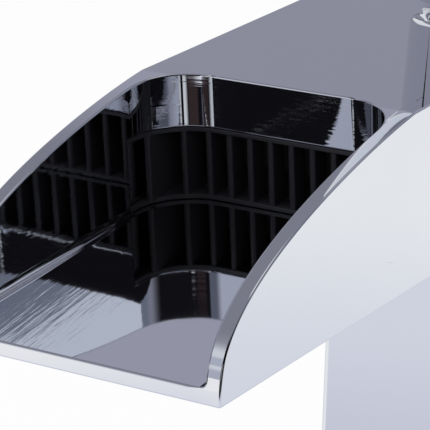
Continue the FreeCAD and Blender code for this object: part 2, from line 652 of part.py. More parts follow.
# ---- lever -----------------------------------------------------------------------------------
def stem():
    """Square spindle on its pin, with a round toe that drives the carrier."""
    half_x, half_y = STEM_WIDTH / 2, STEM_DEPTH / 2
    bar_low = TOE_NECK_LENGTH - TOE_DROP
    bar = block(-half_x, half_x, -half_y, half_y, bar_low, STEM_TOP)
    neck = block(-TOE_NECK / 2, TOE_NECK / 2, -TOE_NECK / 2, TOE_NECK / 2, -TOE_DROP, bar_low)
    toe = rod_x(TOE_RADIUS, TOE_RADIUS, 0, -TOE_DROP)
    solid = bar.fuse([neck, toe]).cut(rod_x(PIN_RADIUS + PIN_GAP, STEM_WIDTH))
    solid.Placement = CLOSED
    return solid


def arm_slope():
    """Slope of the hub's top against the stem's square plane, in radians."""
    return math.radians(ARM_RISE + HALF_LIFT)


def hub():
    """Round hub with a conical hollow under it and a sloping top."""
    slope = math.tan(arm_slope())
    far = 2 * HUB_RADIUS
    low = HUB_HOLLOW * math.cos(math.radians(HUB_RIM_ANGLE))
    high = HUB_TOP + far * slope
    above = profile_across([(-far, high), (far, HUB_TOP - far * slope), (far, high + far),
                            (-far, high + far)], far)
    cone = math.radians(HUB_CONE_ANGLE)
    rim_z, roof_z = low - OVER, HUB_HOLLOW
    rim_radius, roof_radius = [(HUB_HOLLOW - z * math.cos(cone)) / math.sin(cone)
                               for z in (rim_z, roof_z)]
    hollow = Part.makeCone(rim_radius, roof_radius, roof_z - rim_z, Vector(0, 0, rim_z))
    return rod(HUB_RADIUS, low, high).cut([above, hollow])


def arm():
    """Flat tapered bar whose top runs on from the hub's sloping top."""
    thin = ARM_ROOT_THICKNESS - ARM_TIP_THICKNESS
    bar = profile_across([(0, 0), (-ARM_LENGTH, 0), (-ARM_LENGTH, -ARM_TIP_THICKNESS),
                          (0, -ARM_TIP_THICKNESS - thin)], ARM_ROOT_WIDTH)
    tip = ARM_TIP_WIDTH / 2
    tip_y = tip - ARM_LENGTH
    root = ARM_ROOT_WIDTH / 2
    outline = Part.Wire([
        Part.makeLine(Vector(-root, 0, 0), Vector(-tip, tip_y, 0)),
        Part.Arc(Vector(-tip, tip_y, 0), Vector(0, -ARM_LENGTH, 0), Vector(tip, tip_y, 0)).toShape(),
        Part.makeLine(Vector(tip, tip_y, 0), Vector(root, 0, 0)),
        Part.makeLine(Vector(root, 0, 0), Vector(-root, 0, 0)),
    ])
    plan = Part.Face(outline).extrude(Z_AXIS * (-2 * ARM_ROOT_THICKNESS))
    plan.translate(Z_AXIS * (ARM_ROOT_THICKNESS / 2))
    solid = bar.common(plan)
    solid.Placement = Placement(Vector(0, 0, HUB_TOP), Rotation(X_AXIS, -math.degrees(arm_slope())))
    return solid


def lever_handle():
    """Cast lever: hub and arm in one piece, with the stem's socket and the screw's hole."""
    half_x, half_y = STEM_WIDTH / 2 + STEM_GAP, STEM_DEPTH / 2 + STEM_GAP
    socket = block(-half_x, half_x, -half_y, half_y, 0, STEM_TOP + SOCKET_TOP_GAP)
    screw_hole = rod_y(SCREW_RADIUS + SCREW_GAP, -HUB_RADIUS - OVER, 0, 0, SCREW_HEIGHT)
    plug_hole = rod_y(PLUG_RADIUS + PLUG_GAP, -HUB_RADIUS - OVER, plug_back(), 0, SCREW_HEIGHT)
    solid = hub().fuse(arm()).removeSplitter()
    solid = solid.cut([socket, screw_hole, plug_hole])
    solid.Placement = CLOSED.multiply(solid.Placement)
    return solid


def plug_back():
    """Rear face of the index plug, along the stem's own Y."""
    return PLUG_LENGTH - HUB_RADIUS


def lever_screw():
    """Grub screw that clamps the hub on the stem, with a hexagon socket."""
    tip = -STEM_DEPTH / 2
    head = tip - SCREW_LENGTH
    socket = hexagon_prism(SCREW_SOCKET_RADIUS, SCREW_SOCKET_DEPTH + OVER)
    socket.Placement = Placement(Vector(0, head + SCREW_SOCKET_DEPTH, SCREW_HEIGHT),
                                 Rotation(X_AXIS, 90))
    solid = rod_y(SCREW_RADIUS, head, tip, 0, SCREW_HEIGHT).cut(socket)
    solid.Placement = CLOSED.multiply(solid.Placement)
    return solid


def index_plug():
    """Round button that closes the screw's hole and marks hot and cold."""
    solid = rod_y(PLUG_RADIUS, -HUB_RADIUS - PLUG_PROUD, plug_back(), 0, SCREW_HEIGHT)
    solid.Placement = CLOSED.multiply(solid.Placement)
    return solid


# ---- deck fixing -----------------------------------------------------------------------------
def base_gasket():
    """Rubber frame in the groove of the column's foot."""
    return gasket_ring(GASKET_GAP, 0, GASKET_THICKNESS)


def mounting_stud():
    """Threaded rod from the column's boss down through the deck."""
    top = BOSS_LIFT + STUD_ENGAGEMENT
    return rod(STUD_RADIUS, top - STUD_LENGTH, top, 0, STUD_Y)


def crescent(z0, z1):
    """Horseshoe washer, open at the back for the two hoses."""
    plate = rod(WASHER_RADIUS, z0, z1)
    slot_end = rod(WASHER_SLOT_RADIUS, z0 - OVER, z1 + OVER, 0, WASHER_SLOT_Y)
    slot = block(-WASHER_SLOT_RADIUS, WASHER_SLOT_RADIUS, WASHER_SLOT_Y, 2 * WASHER_RADIUS,
                 z0 - OVER, z1 + OVER)
    hole = rod(STUD_RADIUS + WASHER_HOLE_GAP, z0 - OVER, z1 + OVER, 0, STUD_Y)
    return plate.cut([slot_end, slot, hole])


def stud_nut():
    """Long hexagon nut under the washers."""
    top = -DECK_THICKNESS - RUBBER_THICKNESS - STEEL_THICKNESS
    nut = hexagon_prism(STUD_NUT_FLATS / 2, STUD_NUT_HEIGHT)
    nut.translate(Vector(0, STUD_Y, top - STUD_NUT_HEIGHT))
    return nut.cut(rod(STUD_RADIUS + THREAD_GAP, top - 2 * STUD_NUT_HEIGHT, top + OVER, 0, STUD_Y))


RUBBER_LOW = -DECK_THICKNESS - RUBBER_THICKNESS
PARTS = {
    "spout": spout(),
    "column": column(),
    "inlet_sockets": inlet_sockets(),
    "flow_grille": flow_grille(),
    "cartridge_base": cartridge_base(),
    "port_seals": port_seals(),
    "cartridge_housing": cartridge_housing(),
    "fixed_disc": fixed_disc(),
    "moving_disc": moving_disc(),
    "disc_carrier": disc_carrier(),
    "rotor": rotor(),
    "stem_pin": stem_pin(),
    "stem": stem(),
    "limit_ring": limit_ring(),
    "retaining_nut": retaining_nut(),
    "bonnet": bonnet(),
    "lever_handle": lever_handle(),
    "lever_screw": lever_screw(),
    "index_plug": index_plug(),
    "base_gasket": base_gasket(),
    "mounting_stud": mounting_stud(),
    "rubber_washer": crescent(RUBBER_LOW, -DECK_THICKNESS),
    "steel_washer": crescent(RUBBER_LOW - STEEL_THICKNESS, RUBBER_LOW),
    "stud_nut": stud_nut(),
}

os.makedirs("parts", exist_ok=True)
for name, shape in PARTS.items():
    shape.exportStep("parts/" + name + ".step")
    print(name, len(shape.Solids), shape.isValid(), round(shape.Volume, 1))
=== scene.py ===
import json
import math

import bmesh
import bpy
import numpy as np
from mathutils import Matrix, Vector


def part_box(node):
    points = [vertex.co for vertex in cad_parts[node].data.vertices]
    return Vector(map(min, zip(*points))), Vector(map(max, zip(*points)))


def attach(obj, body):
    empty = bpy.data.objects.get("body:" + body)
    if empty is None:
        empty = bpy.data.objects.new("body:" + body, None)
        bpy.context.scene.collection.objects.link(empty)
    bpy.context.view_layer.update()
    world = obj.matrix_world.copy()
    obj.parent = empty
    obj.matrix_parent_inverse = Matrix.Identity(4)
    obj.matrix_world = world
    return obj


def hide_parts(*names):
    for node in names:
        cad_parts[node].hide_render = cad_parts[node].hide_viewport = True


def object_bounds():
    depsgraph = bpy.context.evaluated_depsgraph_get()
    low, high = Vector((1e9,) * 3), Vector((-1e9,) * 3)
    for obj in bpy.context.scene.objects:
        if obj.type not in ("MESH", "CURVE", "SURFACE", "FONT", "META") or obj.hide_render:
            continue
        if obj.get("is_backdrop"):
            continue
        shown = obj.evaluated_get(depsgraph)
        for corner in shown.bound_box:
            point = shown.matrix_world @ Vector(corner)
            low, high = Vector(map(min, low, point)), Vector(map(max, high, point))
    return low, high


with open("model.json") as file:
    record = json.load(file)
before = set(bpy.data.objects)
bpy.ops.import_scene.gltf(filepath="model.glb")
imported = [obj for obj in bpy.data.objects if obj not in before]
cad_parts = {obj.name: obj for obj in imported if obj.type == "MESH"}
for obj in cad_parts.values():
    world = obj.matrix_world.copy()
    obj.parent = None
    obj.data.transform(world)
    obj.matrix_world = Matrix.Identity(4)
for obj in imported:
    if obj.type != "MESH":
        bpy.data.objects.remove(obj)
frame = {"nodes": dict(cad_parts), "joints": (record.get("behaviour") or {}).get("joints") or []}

bl_info = {
    "name": "Waterfall basin faucet",
    "version": (1, 0, 0),
    "blender": (4, 5, 0),
    "location": "3D View > Sidebar > Faucet",
    "description": "Dresses the packed faucet with chromed surfaces, a moulded grille and a studio",
    "category": "Object",
}

MM = 0.001
SPOUT_LOW, SPOUT_HIGH = [np.array(corner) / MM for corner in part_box("spout")]
COLUMN_HIGH = np.array(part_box("column")[1]) / MM
BONNET_LOW = np.array(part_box("bonnet")[0]) / MM
STUD_LOW, STUD_HIGH = [np.array(corner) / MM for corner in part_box("mounting_stud")]
STUD_Y = (STUD_LOW[1] + STUD_HIGH[1]) / 2
NUT_LOW, NUT_HIGH = [np.array(corner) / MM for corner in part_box("stud_nut")]
LIFT = next(joint for joint in frame["joints"] if joint["name"] == "lift")
PIVOT = np.array(LIFT["pos_m"]) / MM

QUARTER = math.pi / 2
ARC_STEPS = 18                # spans in a quarter turn of a small radius
RIM_SPANS = 150               # spans along the curved rim
CIRCLE_STEPS = 128
PROFILE_POINTS = 6001         # samples of the rim's profile
FRONT_POINTS = 3000           # samples that surely lie before the channel's rear corners
ON_AXIS = 0.001               # radius in millimetres that stands for a point on the axis

# Fixed sizes of the solids that the pieces dress, in millimetres.
FRONT_POWER, TOP_POWER = 1.18, 2.66   # powers of the rim's superellipse along Y and Z
COLUMN_CORNER = 1.5
COLUMN_FLARE = 3.4            # the foot is this much wider and deeper than the head
COLUMN_REAR = COLUMN_HIGH[1] - COLUMN_FLARE / 2
HALF = SPOUT_HIGH[0]
DECK_TO_SPOUT = SPOUT_LOW[2]
HOLLOW_WALL, HOLLOW_CORNER, HOLLOW_ROOF = 3.0, 3.0, 73.0
GASKET_INSET, GASKET_WIDTH, GASKET_DEPTH = 1.0, 2.6, 1.5
RECESS_SHOULDER = 1.0         # step from the channel's wall to the grille's recess
DUCT_HALF, DUCT_STEP, DUCT_DEPTH = 19.0, 1.0, 9.5
SEAT_RADIUS = 20.3            # round seat of the bonnet in the top
SHOULDER_DROP, SEAT_DROP = 8.5, 34.5  # seat's face down to the shoulder and to the cartridge
SHOULDER_RADIUS, CARTRIDGE_RADIUS = 18.55, 17.6
CAP_OUTER, CAP_INNER = 20.0, 18.3     # bonnet's reach from the pivot, outside and inside
CAP_ANGLES = (18, 39, 61)     # elevations of the cones' edges, seen from the pivot, in degrees
CAP_BORE, CAP_OPENING, CAP_SEAT, CAP_EDGE = 16.95, 9.0, 1.0, 1.6
HUB_HOLLOW = 20.4             # reach of the hub's hollow from the pivot
HUB_RIM, HUB_CONE = 52.0, 40.0        # degrees: hollow's rim from the axis, and its cone
PLUG_RADIUS, PLUG_LENGTH, PLUG_EDGE = 3.5, 5.2, 0.35
PLUG_FRONT, PLUG_HEIGHT = -13.0, 24.5
STUD_RADIUS, STUD_PITCH, THREAD_DEPTH = 4.0, 1.25, 0.62
ROWS_PER_PITCH, STUD_STEPS, NUT_STEPS = 8, 32, 96
NUT_BORE, NUT_LEVELS = 4.05, (0.4, 0.9)
NUT_CONE, NUT_SLOPE = 0.99, 1.9       # start of the nut's chamfer as a share of the flats, slope


# ---- sizes and colours that a user would change ----
def length(name, description, millimetres):
    """Length property whose default is given in millimetres."""
    return bpy.props.FloatProperty(name=name, description=description, default=millimetres * MM,
                                   min=0.0, precision=5, unit="LENGTH", subtype="DISTANCE")


def angle_of(name, description, degrees):
    """Angle property whose default is given in degrees."""
    return bpy.props.FloatProperty(name=name, description=description,
                                   default=math.radians(degrees), subtype="ANGLE")


def colour(name, description, value):
    """Colour property in linear light."""
    return bpy.props.FloatVectorProperty(name=name, description=description, default=value,
                                         size=3, min=0.0, max=1.0, subtype="COLOR")


class FaucetCasting(bpy.types.PropertyGroup):
    """Sizes of the column and the spout."""
    wall: length("Side wall", "Thickness of the channel's side walls", 2.4)
    lip: length("Lip", "Thickness of the lip under the channel's floor", 2.3)
    rim_length: length("Rim length", "Length of the curved side rims", 54.9)
    rim_height: length("Rim height", "Height gained over the curved rims", 25.9)
    channel_length: length("Channel length", "Lip to the rear wall of the channel", 58.6)
    channel_corner: length("Channel corner", "Radius of the channel's rear corners", 9.6)
    floor_fillet: length("Floor fillet", "Radius along the foot of the channel's walls", 1.2)
    edge: length("Edge", "Softened edge of the casting", 0.28)
    floor_angle: angle_of("Floor angle", "Rise of the channel's floor", 4.27)
    top_slope: bpy.props.FloatProperty(name="Top slope", description="Rise of the top per length",
                                       default=0.0273, precision=4)


class FaucetGrille(bpy.types.PropertyGroup):
    """Sizes of the flow grille."""
    height: length("Height", "Floor to the roof of the grille's recess", 12.2)
    depth: length("Depth", "Depth of the recess behind the rear wall", 4.0)
    pitch: length("Pitch", "Distance from fin to fin", 3.72)
    fin: length("Fin", "Thickness of a fin", 1.1)
    bar: length("Bar", "Thickness of the frame's bars", 0.7)
    shift: bpy.props.FloatProperty(name="Shift", description="Sideways offset of the row of fins",
                                   default=-0.6 * MM, unit="LENGTH", subtype="DISTANCE")
    fins: bpy.props.IntProperty(name="Fins", description="Number of fins", default=12, min=2)


class FaucetLever(bpy.types.PropertyGroup):
    """Sizes of the lever and its hub."""
    hub_radius: length("Hub radius", "Radius of the hub", 18.0)
    hub_top: length("Hub top", "Pivot to the hub's sloping top, on the axis", 35.0)
    arm_length: length("Arm length", "Axis to the arm's tip, along the arm", 78.0)
    root_width: length("Root width", "Width of the arm at the hub", 17.0)
    tip_width: length("Tip width", "Width of the arm at its tip", 13.0)
    root_thickness: length("Root thickness", "Thickness of the arm at the hub", 6.2)
    tip_thickness: length("Tip thickness", "Thickness of the arm at its tip", 4.2)
    edge: length("Edge", "Softened edge of the lever", 0.8)
    rise: angle_of("Rise", "Rise of the arm when the water is shut", 8.0)
    lean: angle_of("Lean", "Forward lean of the stem at rest", 12.5)


class FaucetFinish(bpy.types.PropertyGroup):
    """Colours of the materials."""
    chrome: colour("Chrome", "Chrome plate", (0.80, 0.81, 0.83))
    # Colour of the duct behind the grille: unplated metal, painted near black as shade where little
    # light enters.
    unplated_duct_shade: colour("Unplated duct shade", "Unplated inside of the casting, painted near black as shade", (0.045, 0.038, 0.03))
    grille: colour("Grille", "Moulded plastic of the grille", (0.026, 0.026, 0.032))
    cartridge: colour("Cartridge", "Moulded plastic of the cartridge", (0.60, 0.61, 0.60))
    rubber: colour("Rubber", "Seals, gasket and washer", (0.022, 0.022, 0.023))
    ceramic: colour("Ceramic", "Lapped discs", (0.82, 0.82, 0.79))
    steel: colour("Steel", "Zinc plated steel", (0.56, 0.56, 0.58))
    brass: colour("Brass", "Turned brass", (0.72, 0.53, 0.24))
    hot: colour("Hot", "Hot half of the index plug and limit ring", (0.62, 0.03, 0.03))
    cold: colour("Cold", "Cold half of the index plug", (0.03, 0.11, 0.55))


class FaucetStage(bpy.types.PropertyGroup):
    """Camera, lights and floor."""
    lens: bpy.props.FloatProperty(name="Lens", description="Focal length on a 36 mm sensor",
                                  default=198.1, subtype="NONE")
    floor_colour: colour("Floor", "Plain pale floor", (0.93, 0.93, 0.93))
    sky: colour("Rear sky", "Room light behind the faucet", (0.30, 0.305, 0.38))
    room: colour("Front room", "Dark room beside the camera", (0.0075, 0.0068, 0.0095))


# ---- mesh helpers ----
def sheet(points, closed=False):
    """Quads over rows of points; a closed sheet joins its last column to its first."""
    points = np.asarray(points)
    rows, columns = points.shape[:2]
    index = np.arange(rows * columns).reshape(rows, columns)
    if closed:
        index = np.concatenate([index, index[:, :1]], axis=1)
    quads = np.stack([index[:-1, :-1], index[:-1, 1:], index[1:, 1:], index[1:, :-1]], axis=-1)
    return points.reshape(-1, 3), quads.reshape(-1, 4).tolist()


def cap(*parts):
    """One flat face over a closed loop, given as parts one after another."""
    loop = np.concatenate(parts)
    return loop, [list(range(len(loop)))]


def mirrored(patch):
    """A patch on the other side of the faucet's middle plane."""
    points, faces = patch
    return points * [-1.0, 1.0, 1.0], faces


def both_sides(patches):
    """Patches and their mirror images."""
    return patches + [mirrored(patch) for patch in patches]


def across(*columns):
    """Points from broadcast X, Y and Z values, stacked on a last axis."""
    return np.stack(np.broadcast_arrays(*[np.asarray(c, float) for c in columns]), axis=-1)


def arc_points(radius, turn):
    """Points (x, y) of a circle round the axis at the given angles."""
    return np.stack([radius * np.cos(turn), radius * np.sin(turn)], axis=1)


def turned(profile, steps=CIRCLE_STEPS):
    """Surface of revolution about Z: each profile point (radius, z) becomes a circle."""
    turn = np.arange(steps) / steps * 2 * math.pi
    radius, z = np.asarray(profile, float).T
    return across(radius[:, None] * np.cos(turn), radius[:, None] * np.sin(turn), z[:, None])


def softened(corners, radius, steps=5):
    """Open outline whose inner corners are replaced by arcs.

    At a corner with unit directions a and b to its neighbours, the arc starts at distance
    radius * cot(half) along a, ends the same distance along b, and its points come from a
    quadratic blend of start, corner and end, which is close to a circle for such small arcs.
    """
    corners = np.asarray(corners, float)
    before, here, after = corners[:-2], corners[1:-1], corners[2:]
    a, b = before - here, after - here
    length_a, length_b = np.linalg.norm(a, axis=1), np.linalg.norm(b, axis=1)
    a, b = a / length_a[:, None], b / length_b[:, None]
    half = np.arccos(np.clip((a * b).sum(axis=1), -1, 1)) / 2
    reach = np.minimum(radius / np.tan(half), 0.45 * np.minimum(length_a, length_b))[:, None]
    t = np.linspace(0, 1, steps + 1)[None, :, None]
    start, end, middle = (here + a * reach)[:, None], (here + b * reach)[:, None], here[:, None]
    arcs = (1 - t) ** 2 * start + 2 * t * (1 - t) * middle + t ** 2 * end
    return np.concatenate([corners[:1], arcs.reshape(-1, 2), corners[-1:]])


def rounded_rectangle(width, depth, corner, z, steps=8):
    """Closed loop of a rectangle with round corners: four quarter arcs one after another."""
    turn = np.linspace(0, QUARTER, steps + 1)
    signs = np.array([(1, 1), (-1, 1), (-1, -1), (1, -1)])
    base = np.arange(4)[:, None] * QUARTER + turn[None, :]
    x = signs[:, :1] * (width / 2 - corner) + corner * np.cos(base)
    y = signs[:, 1:] * (depth / 2 - corner) + corner * np.sin(base)
    return across(x.ravel(), y.ravel(), z)


def place(patch, matrix):
    """A patch carried by a 4 x 4 matrix."""
    points, faces = patch
    turn = np.array(matrix.to_3x3())
    return points @ turn.T + np.array(matrix.to_translation()), faces


def linked(name, data):
    """New object in the scene."""
    item = bpy.data.objects.new(name, data)
    bpy.context.scene.collection.objects.link(item)
    return item


def build_piece(name, groups, body, replaced, edge=0.0, segments=3, angle=35.0):
    """Mesh object from groups of (material, patches) in millimetres.

    Points that agree to 0.1 micrometre are welded through their rounded coordinates, faces are
    turned outwards, and an optional bevel softens every edge sharper than the given angle. The
    normals then follow the larger faces, so that flat faces mirror like flat ones.
    """
    chunks, faces, slots, offset = [], [], [], 0
    for number, (material, patches) in enumerate(groups):
        for points, polygons in patches:
            chunks.append(points)
            faces += [[corner + offset for corner in polygon] for polygon in polygons]
            slots += [number] * len(polygons)
            offset += len(points)
    points, inverse = np.unique(np.round(np.concatenate(chunks), 4), axis=0, return_inverse=True)
    inverse = inverse.reshape(-1)
    faces = [list(dict.fromkeys(inverse[face].tolist())) for face in faces]
    kept = [i for i, face in enumerate(faces) if len(face) > 2]
    mesh = bpy.data.meshes.new(name)
    mesh.from_pydata((points * MM).tolist(), [], [faces[i] for i in kept])
    for material, _ in groups:
        mesh.materials.append(material)
    mesh.polygons.foreach_set("material_index", [slots[i] for i in kept])
    mesh.polygons.foreach_set("use_smooth", [True] * len(kept))
    shell = bmesh.new()
    shell.from_mesh(mesh)
    bmesh.ops.recalc_face_normals(shell, faces=shell.faces)
    shell.to_mesh(mesh)
    shell.free()
    mesh.set_sharp_from_angle(angle=math.radians(angle))
    piece = linked(name, mesh)
    if edge:
        bevel = piece.modifiers.new("soft edges", "BEVEL")
        bevel.width = edge * MM
        bevel.segments = segments
        bevel.limit_method = "ANGLE"
        bevel.angle_limit = math.radians(angle)
        bevel.use_clamp_overlap = False
        flatten = piece.modifiers.new("true flats", "WEIGHTED_NORMAL")
        flatten.mode = "FACE_AREA"
        flatten.weight = 100
        flatten.keep_sharp = True
    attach(piece, body)
    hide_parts(*replaced)


# ---- shader helpers ----
EVEN = (1.0, 1.0, 1.0)        # noise that isn't stretched
WHITE = (1.0, 1.0, 1.0, 1.0)


class Value:
    """A number in a node tree; arithmetic on it adds Math nodes."""

    def __init__(self, shader, socket):
        self.shader = shader
        self.socket = socket

    def _math(self, operation, *operands):
        return self.shader.add("ShaderNodeMath", {"operation": operation},
                               dict(enumerate(operands)))

    def __add__(self, other):
        return self._math("ADD", self, other)

    def __sub__(self, other):
        return self._math("SUBTRACT", self, other)

    def __rsub__(self, other):
        return self._math("SUBTRACT", other, self)

    def __mul__(self, other):
        return self._math("MULTIPLY", self, other)

    def maximum(self, other):
        return self._math("MAXIMUM", self, other)

    def minimum(self, other):
        return self._math("MINIMUM", self, other)

    def absolute(self):
        return self._math("ABSOLUTE", self)

    def ramp(self, low, high):
        """Smooth step from 0 at low to 1 at high."""
        return self.shader.add("ShaderNodeMapRange", {"interpolation_type": "SMOOTHSTEP"},
                               {0: self, 1: low, 2: high, 3: 0.0, 4: 1.0})

    __radd__ = __add__
    __rmul__ = __mul__


class Shader:
    """Node tree of a material or a world, emptied and filled through add."""

    def __init__(self, tree):
        self.tree = tree
        tree.nodes.clear()

    def add(self, kind, settings, sockets, output=0):
        """Adds a node, applies its settings, then its socket values or links."""
        node = self.tree.nodes.new(kind)
        for key, value in settings.items():
            setattr(node, key, value)
        for key, value in sockets.items():
            if isinstance(value, Value):
                self.tree.links.new(value.socket, node.inputs[key])
            else:
                node.inputs[key].default_value = value
        return Value(self, node.outputs[output])

    def place(self):
        """X, Y and Z of the piece's own coordinates, in millimetres, and the vector itself."""
        vector = self.add("ShaderNodeTexCoord", {}, {}, "Object")
        return vector, [self.add("ShaderNodeSeparateXYZ", {}, {0: vector}, axis) * (1 / MM)
                        for axis in range(3)]

    def noise(self, vector, scale, stretch=EVEN, detail=2.0, roughness=0.5):
        """Noise of a given scale per metre, squeezed along the axes by stretch."""
        mapped = self.add("ShaderNodeMapping", {}, {"Vector": vector, "Scale": stretch})
        return self.add("ShaderNodeTexNoise", {}, {
            "Vector": mapped, "Scale": scale, "Detail": detail, "Roughness": roughness})

    def mix(self, factor, first, second):
        """Colour mix."""
        return self.add("ShaderNodeMix", {"data_type": "RGBA"}, {0: factor, 6: first, 7: second}, 2)

    def bump(self, height, strength, distance):
        """Bump node; distance in metres."""
        return self.add("ShaderNodeBump", {}, {"Strength": strength, "Distance": distance,
                                               "Height": height})


def rgba(value, factor=1.0):
    """Colour with alpha, brightened or darkened by a factor."""
    return tuple(min(1.0, channel * factor) for channel in value) + (1.0,)


def new_material(name):
    """Material with an empty tree, wrapped for building."""
    material = bpy.data.materials.new(name)
    material.use_nodes = True
    return material, Shader(material.node_tree)


def finish_material(shader, sockets):
    """Closes a tree with a Principled BSDF that has the given sockets."""
    surface_node = shader.add("ShaderNodeBsdfPrincipled", {}, sockets)
    finish_tree(shader, "ShaderNodeOutputMaterial", surface_node)


def surface(name, base, shades, cloud, relief, gloss, bump, **sockets):
    """Material whose base colour follows one noise and whose relief follows another.

    cloud and relief are the settings of the noises. gloss names the one that moves the roughness
    (0 cloud, 1 relief), how far and round what value. bump is strength and depth in metres.
    """
    material, shader = new_material(name)
    vector, _ = shader.place()
    noises = [shader.noise(vector, *settings) for settings in (cloud, relief)]
    source, spread, middle = gloss
    finish_material(shader, {
        "Base Color": shader.mix(noises[0], *[rgba(base, shade) for shade in shades]),
        "Roughness": noises[source] * spread + (middle - spread / 2),
        "Normal": shader.bump(noises[1], *bump), **sockets})
    return material


def polished_metal(name, base, roughness, spread):
    """Plated metal: a faint cloud in its tone and its gloss."""
    return surface(name, base, (0.97, 1.02), (60.0, EVEN, 3.0), (900.0,), (0, spread, roughness),
                   (0.05, 0.00001), Metallic=1.0)


def turned_metal(name, base, roughness):
    """Turned metal: fine rings round the vertical axis."""
    return surface(name, base, (0.88, 1.08), (120.0,), (500.0, (0.05, 0.05, 4.0)),
                   (1, 0.14, roughness), (0.25, 0.00004), Metallic=1.0)


def moulded(name, base, roughness, grain=0.2):
    """Moulded plastic, rubber or ceramic: clouded base colour and a fine grain."""
    return surface(name, base, (0.85, 1.12), (90.0, EVEN, 3.0), (2600.0,), (0, 0.10, roughness),
                   (grain, 0.00003))


def casting_chrome(base, casting):
    """Chrome of the casting: mirror gloss everywhere, milled lines inside the channel.

    The floor and the fillets at its foot have lines that run along the channel, the band over
    the grille has level lines, and the side walls have level milled lines with a slow wave.
    The masks come from the piece's own X, Y and Z; above is the height over the sloping floor.
    """
    material, shader = new_material("casting chrome")
    vector, (x, y, z) = shader.place()
    lip, wall_x = SPOUT_LOW[1], HALF - casting.wall / MM
    inside = (x.absolute() * -1.0 + (wall_x - 0.1)).ramp(-0.05, 0.25)
    behind_lip = (y - lip).ramp(0.6, 2.0)
    floor_z = (y - lip) * math.tan(casting.floor_angle) + (SPOUT_LOW[2] + casting.lip / MM)
    above = z - floor_z
    on_floor = inside * (1.0 - above.ramp(0.15, 0.5)) * (above + 0.6).ramp(0.0, 0.3) * behind_lip
    on_fillet = above.ramp(0.1, 0.3) * (1.0 - above.ramp(1.0, 1.2)) * inside * behind_lip
    band_y = lip + (casting.channel_length - casting.channel_corner) / MM
    on_band = inside * (y - band_y).ramp(-2.0, 6.0) * above.ramp(11.0, 12.0)
    on_band = on_band * (1.0 - (y - (band_y + 12.5)).ramp(0.0, 1.0))
    on_wall = strip(x.absolute(), wall_x - 0.2, wall_x + 0.08, 0.2, 0.06) * above.ramp(0.3, 0.9)
    on_wall = on_wall * (1.0 - (y - band_y).ramp(-1.0, 2.0))
    along = shader.noise(vector, 2200.0, (1.0, 0.006, 0.02))
    level = shader.noise(vector, 2200.0, (0.012, 0.012, 1.0))
    milled = shader.noise(vector, 900.0, (0.03, 0.06, 1.0), detail=3.0, roughness=0.6)
    wave = shader.noise(vector, 90.0, (0.2, 1.0, 0.5), detail=1.0)
    cloud = shader.noise(vector, 45.0, detail=3.0)
    height = along * (on_floor * 0.04 + on_fillet * 0.8) + level * on_band * 0.9
    height = height + (milled * 0.75 + wave * 0.7) * on_wall
    finish_material(shader, {
        "Base Color": shader.mix(cloud, rgba(base, 0.985), rgba(base, 1.015)),
        "Roughness": on_floor * 0.012 + cloud * 0.010 + 0.014,
        "Metallic": 1.0,
        "Normal": shader.bump(height, 1.0, 0.000012),
    })
    return material


def two_coloured(name, left, right):
    """Gloss plastic that is hot on the left of the middle plane and cold on the right."""
    material, shader = new_material(name)
    vector, (x, _, _) = shader.place()
    cloud = shader.noise(vector, 300.0)
    side = x.ramp(-0.04, 0.04)
    tone = shader.mix(side, rgba(left), rgba(right))
    finish_material(shader, {
        "Base Color": shader.mix(cloud * 0.12, tone, (0.0, 0.0, 0.0, 1.0)),
        "Roughness": cloud * 0.06 + 0.22,
        "Coat Weight": 0.4,
    })
    return material


# ---- casting ----
def rim_profile(casting):
    """Side profile of the spout's top as (y, z) from the lip's lower edge, with its arc length.

    y = length * (1 - cos(u) ** (2 / FRONT_POWER)) and z = height * sin(u) ** (2 / TOP_POWER) +
    slope * y for u up to a quarter turn, then a straight line of that slope to the rear end. The
    samples of u lie closer together near the lip.
    """
    u = QUARTER * np.linspace(0, 1, PROFILE_POINTS) ** 1.6
    rim_length, rim_height = casting.rim_length / MM, casting.rim_height / MM
    y = rim_length * (1 - np.clip(np.cos(u), 0, 1) ** (2 / FRONT_POWER))
    z = rim_height * np.sin(u) ** (2 / TOP_POWER) + casting.top_slope * y
    end = COLUMN_REAR - SPOUT_LOW[1]
    y = np.append(y, end)
    z = np.append(z, rim_height + casting.top_slope * end)
    s = np.concatenate([[0], np.cumsum(np.hypot(np.diff(y), np.diff(z)))])
    return y, z, s


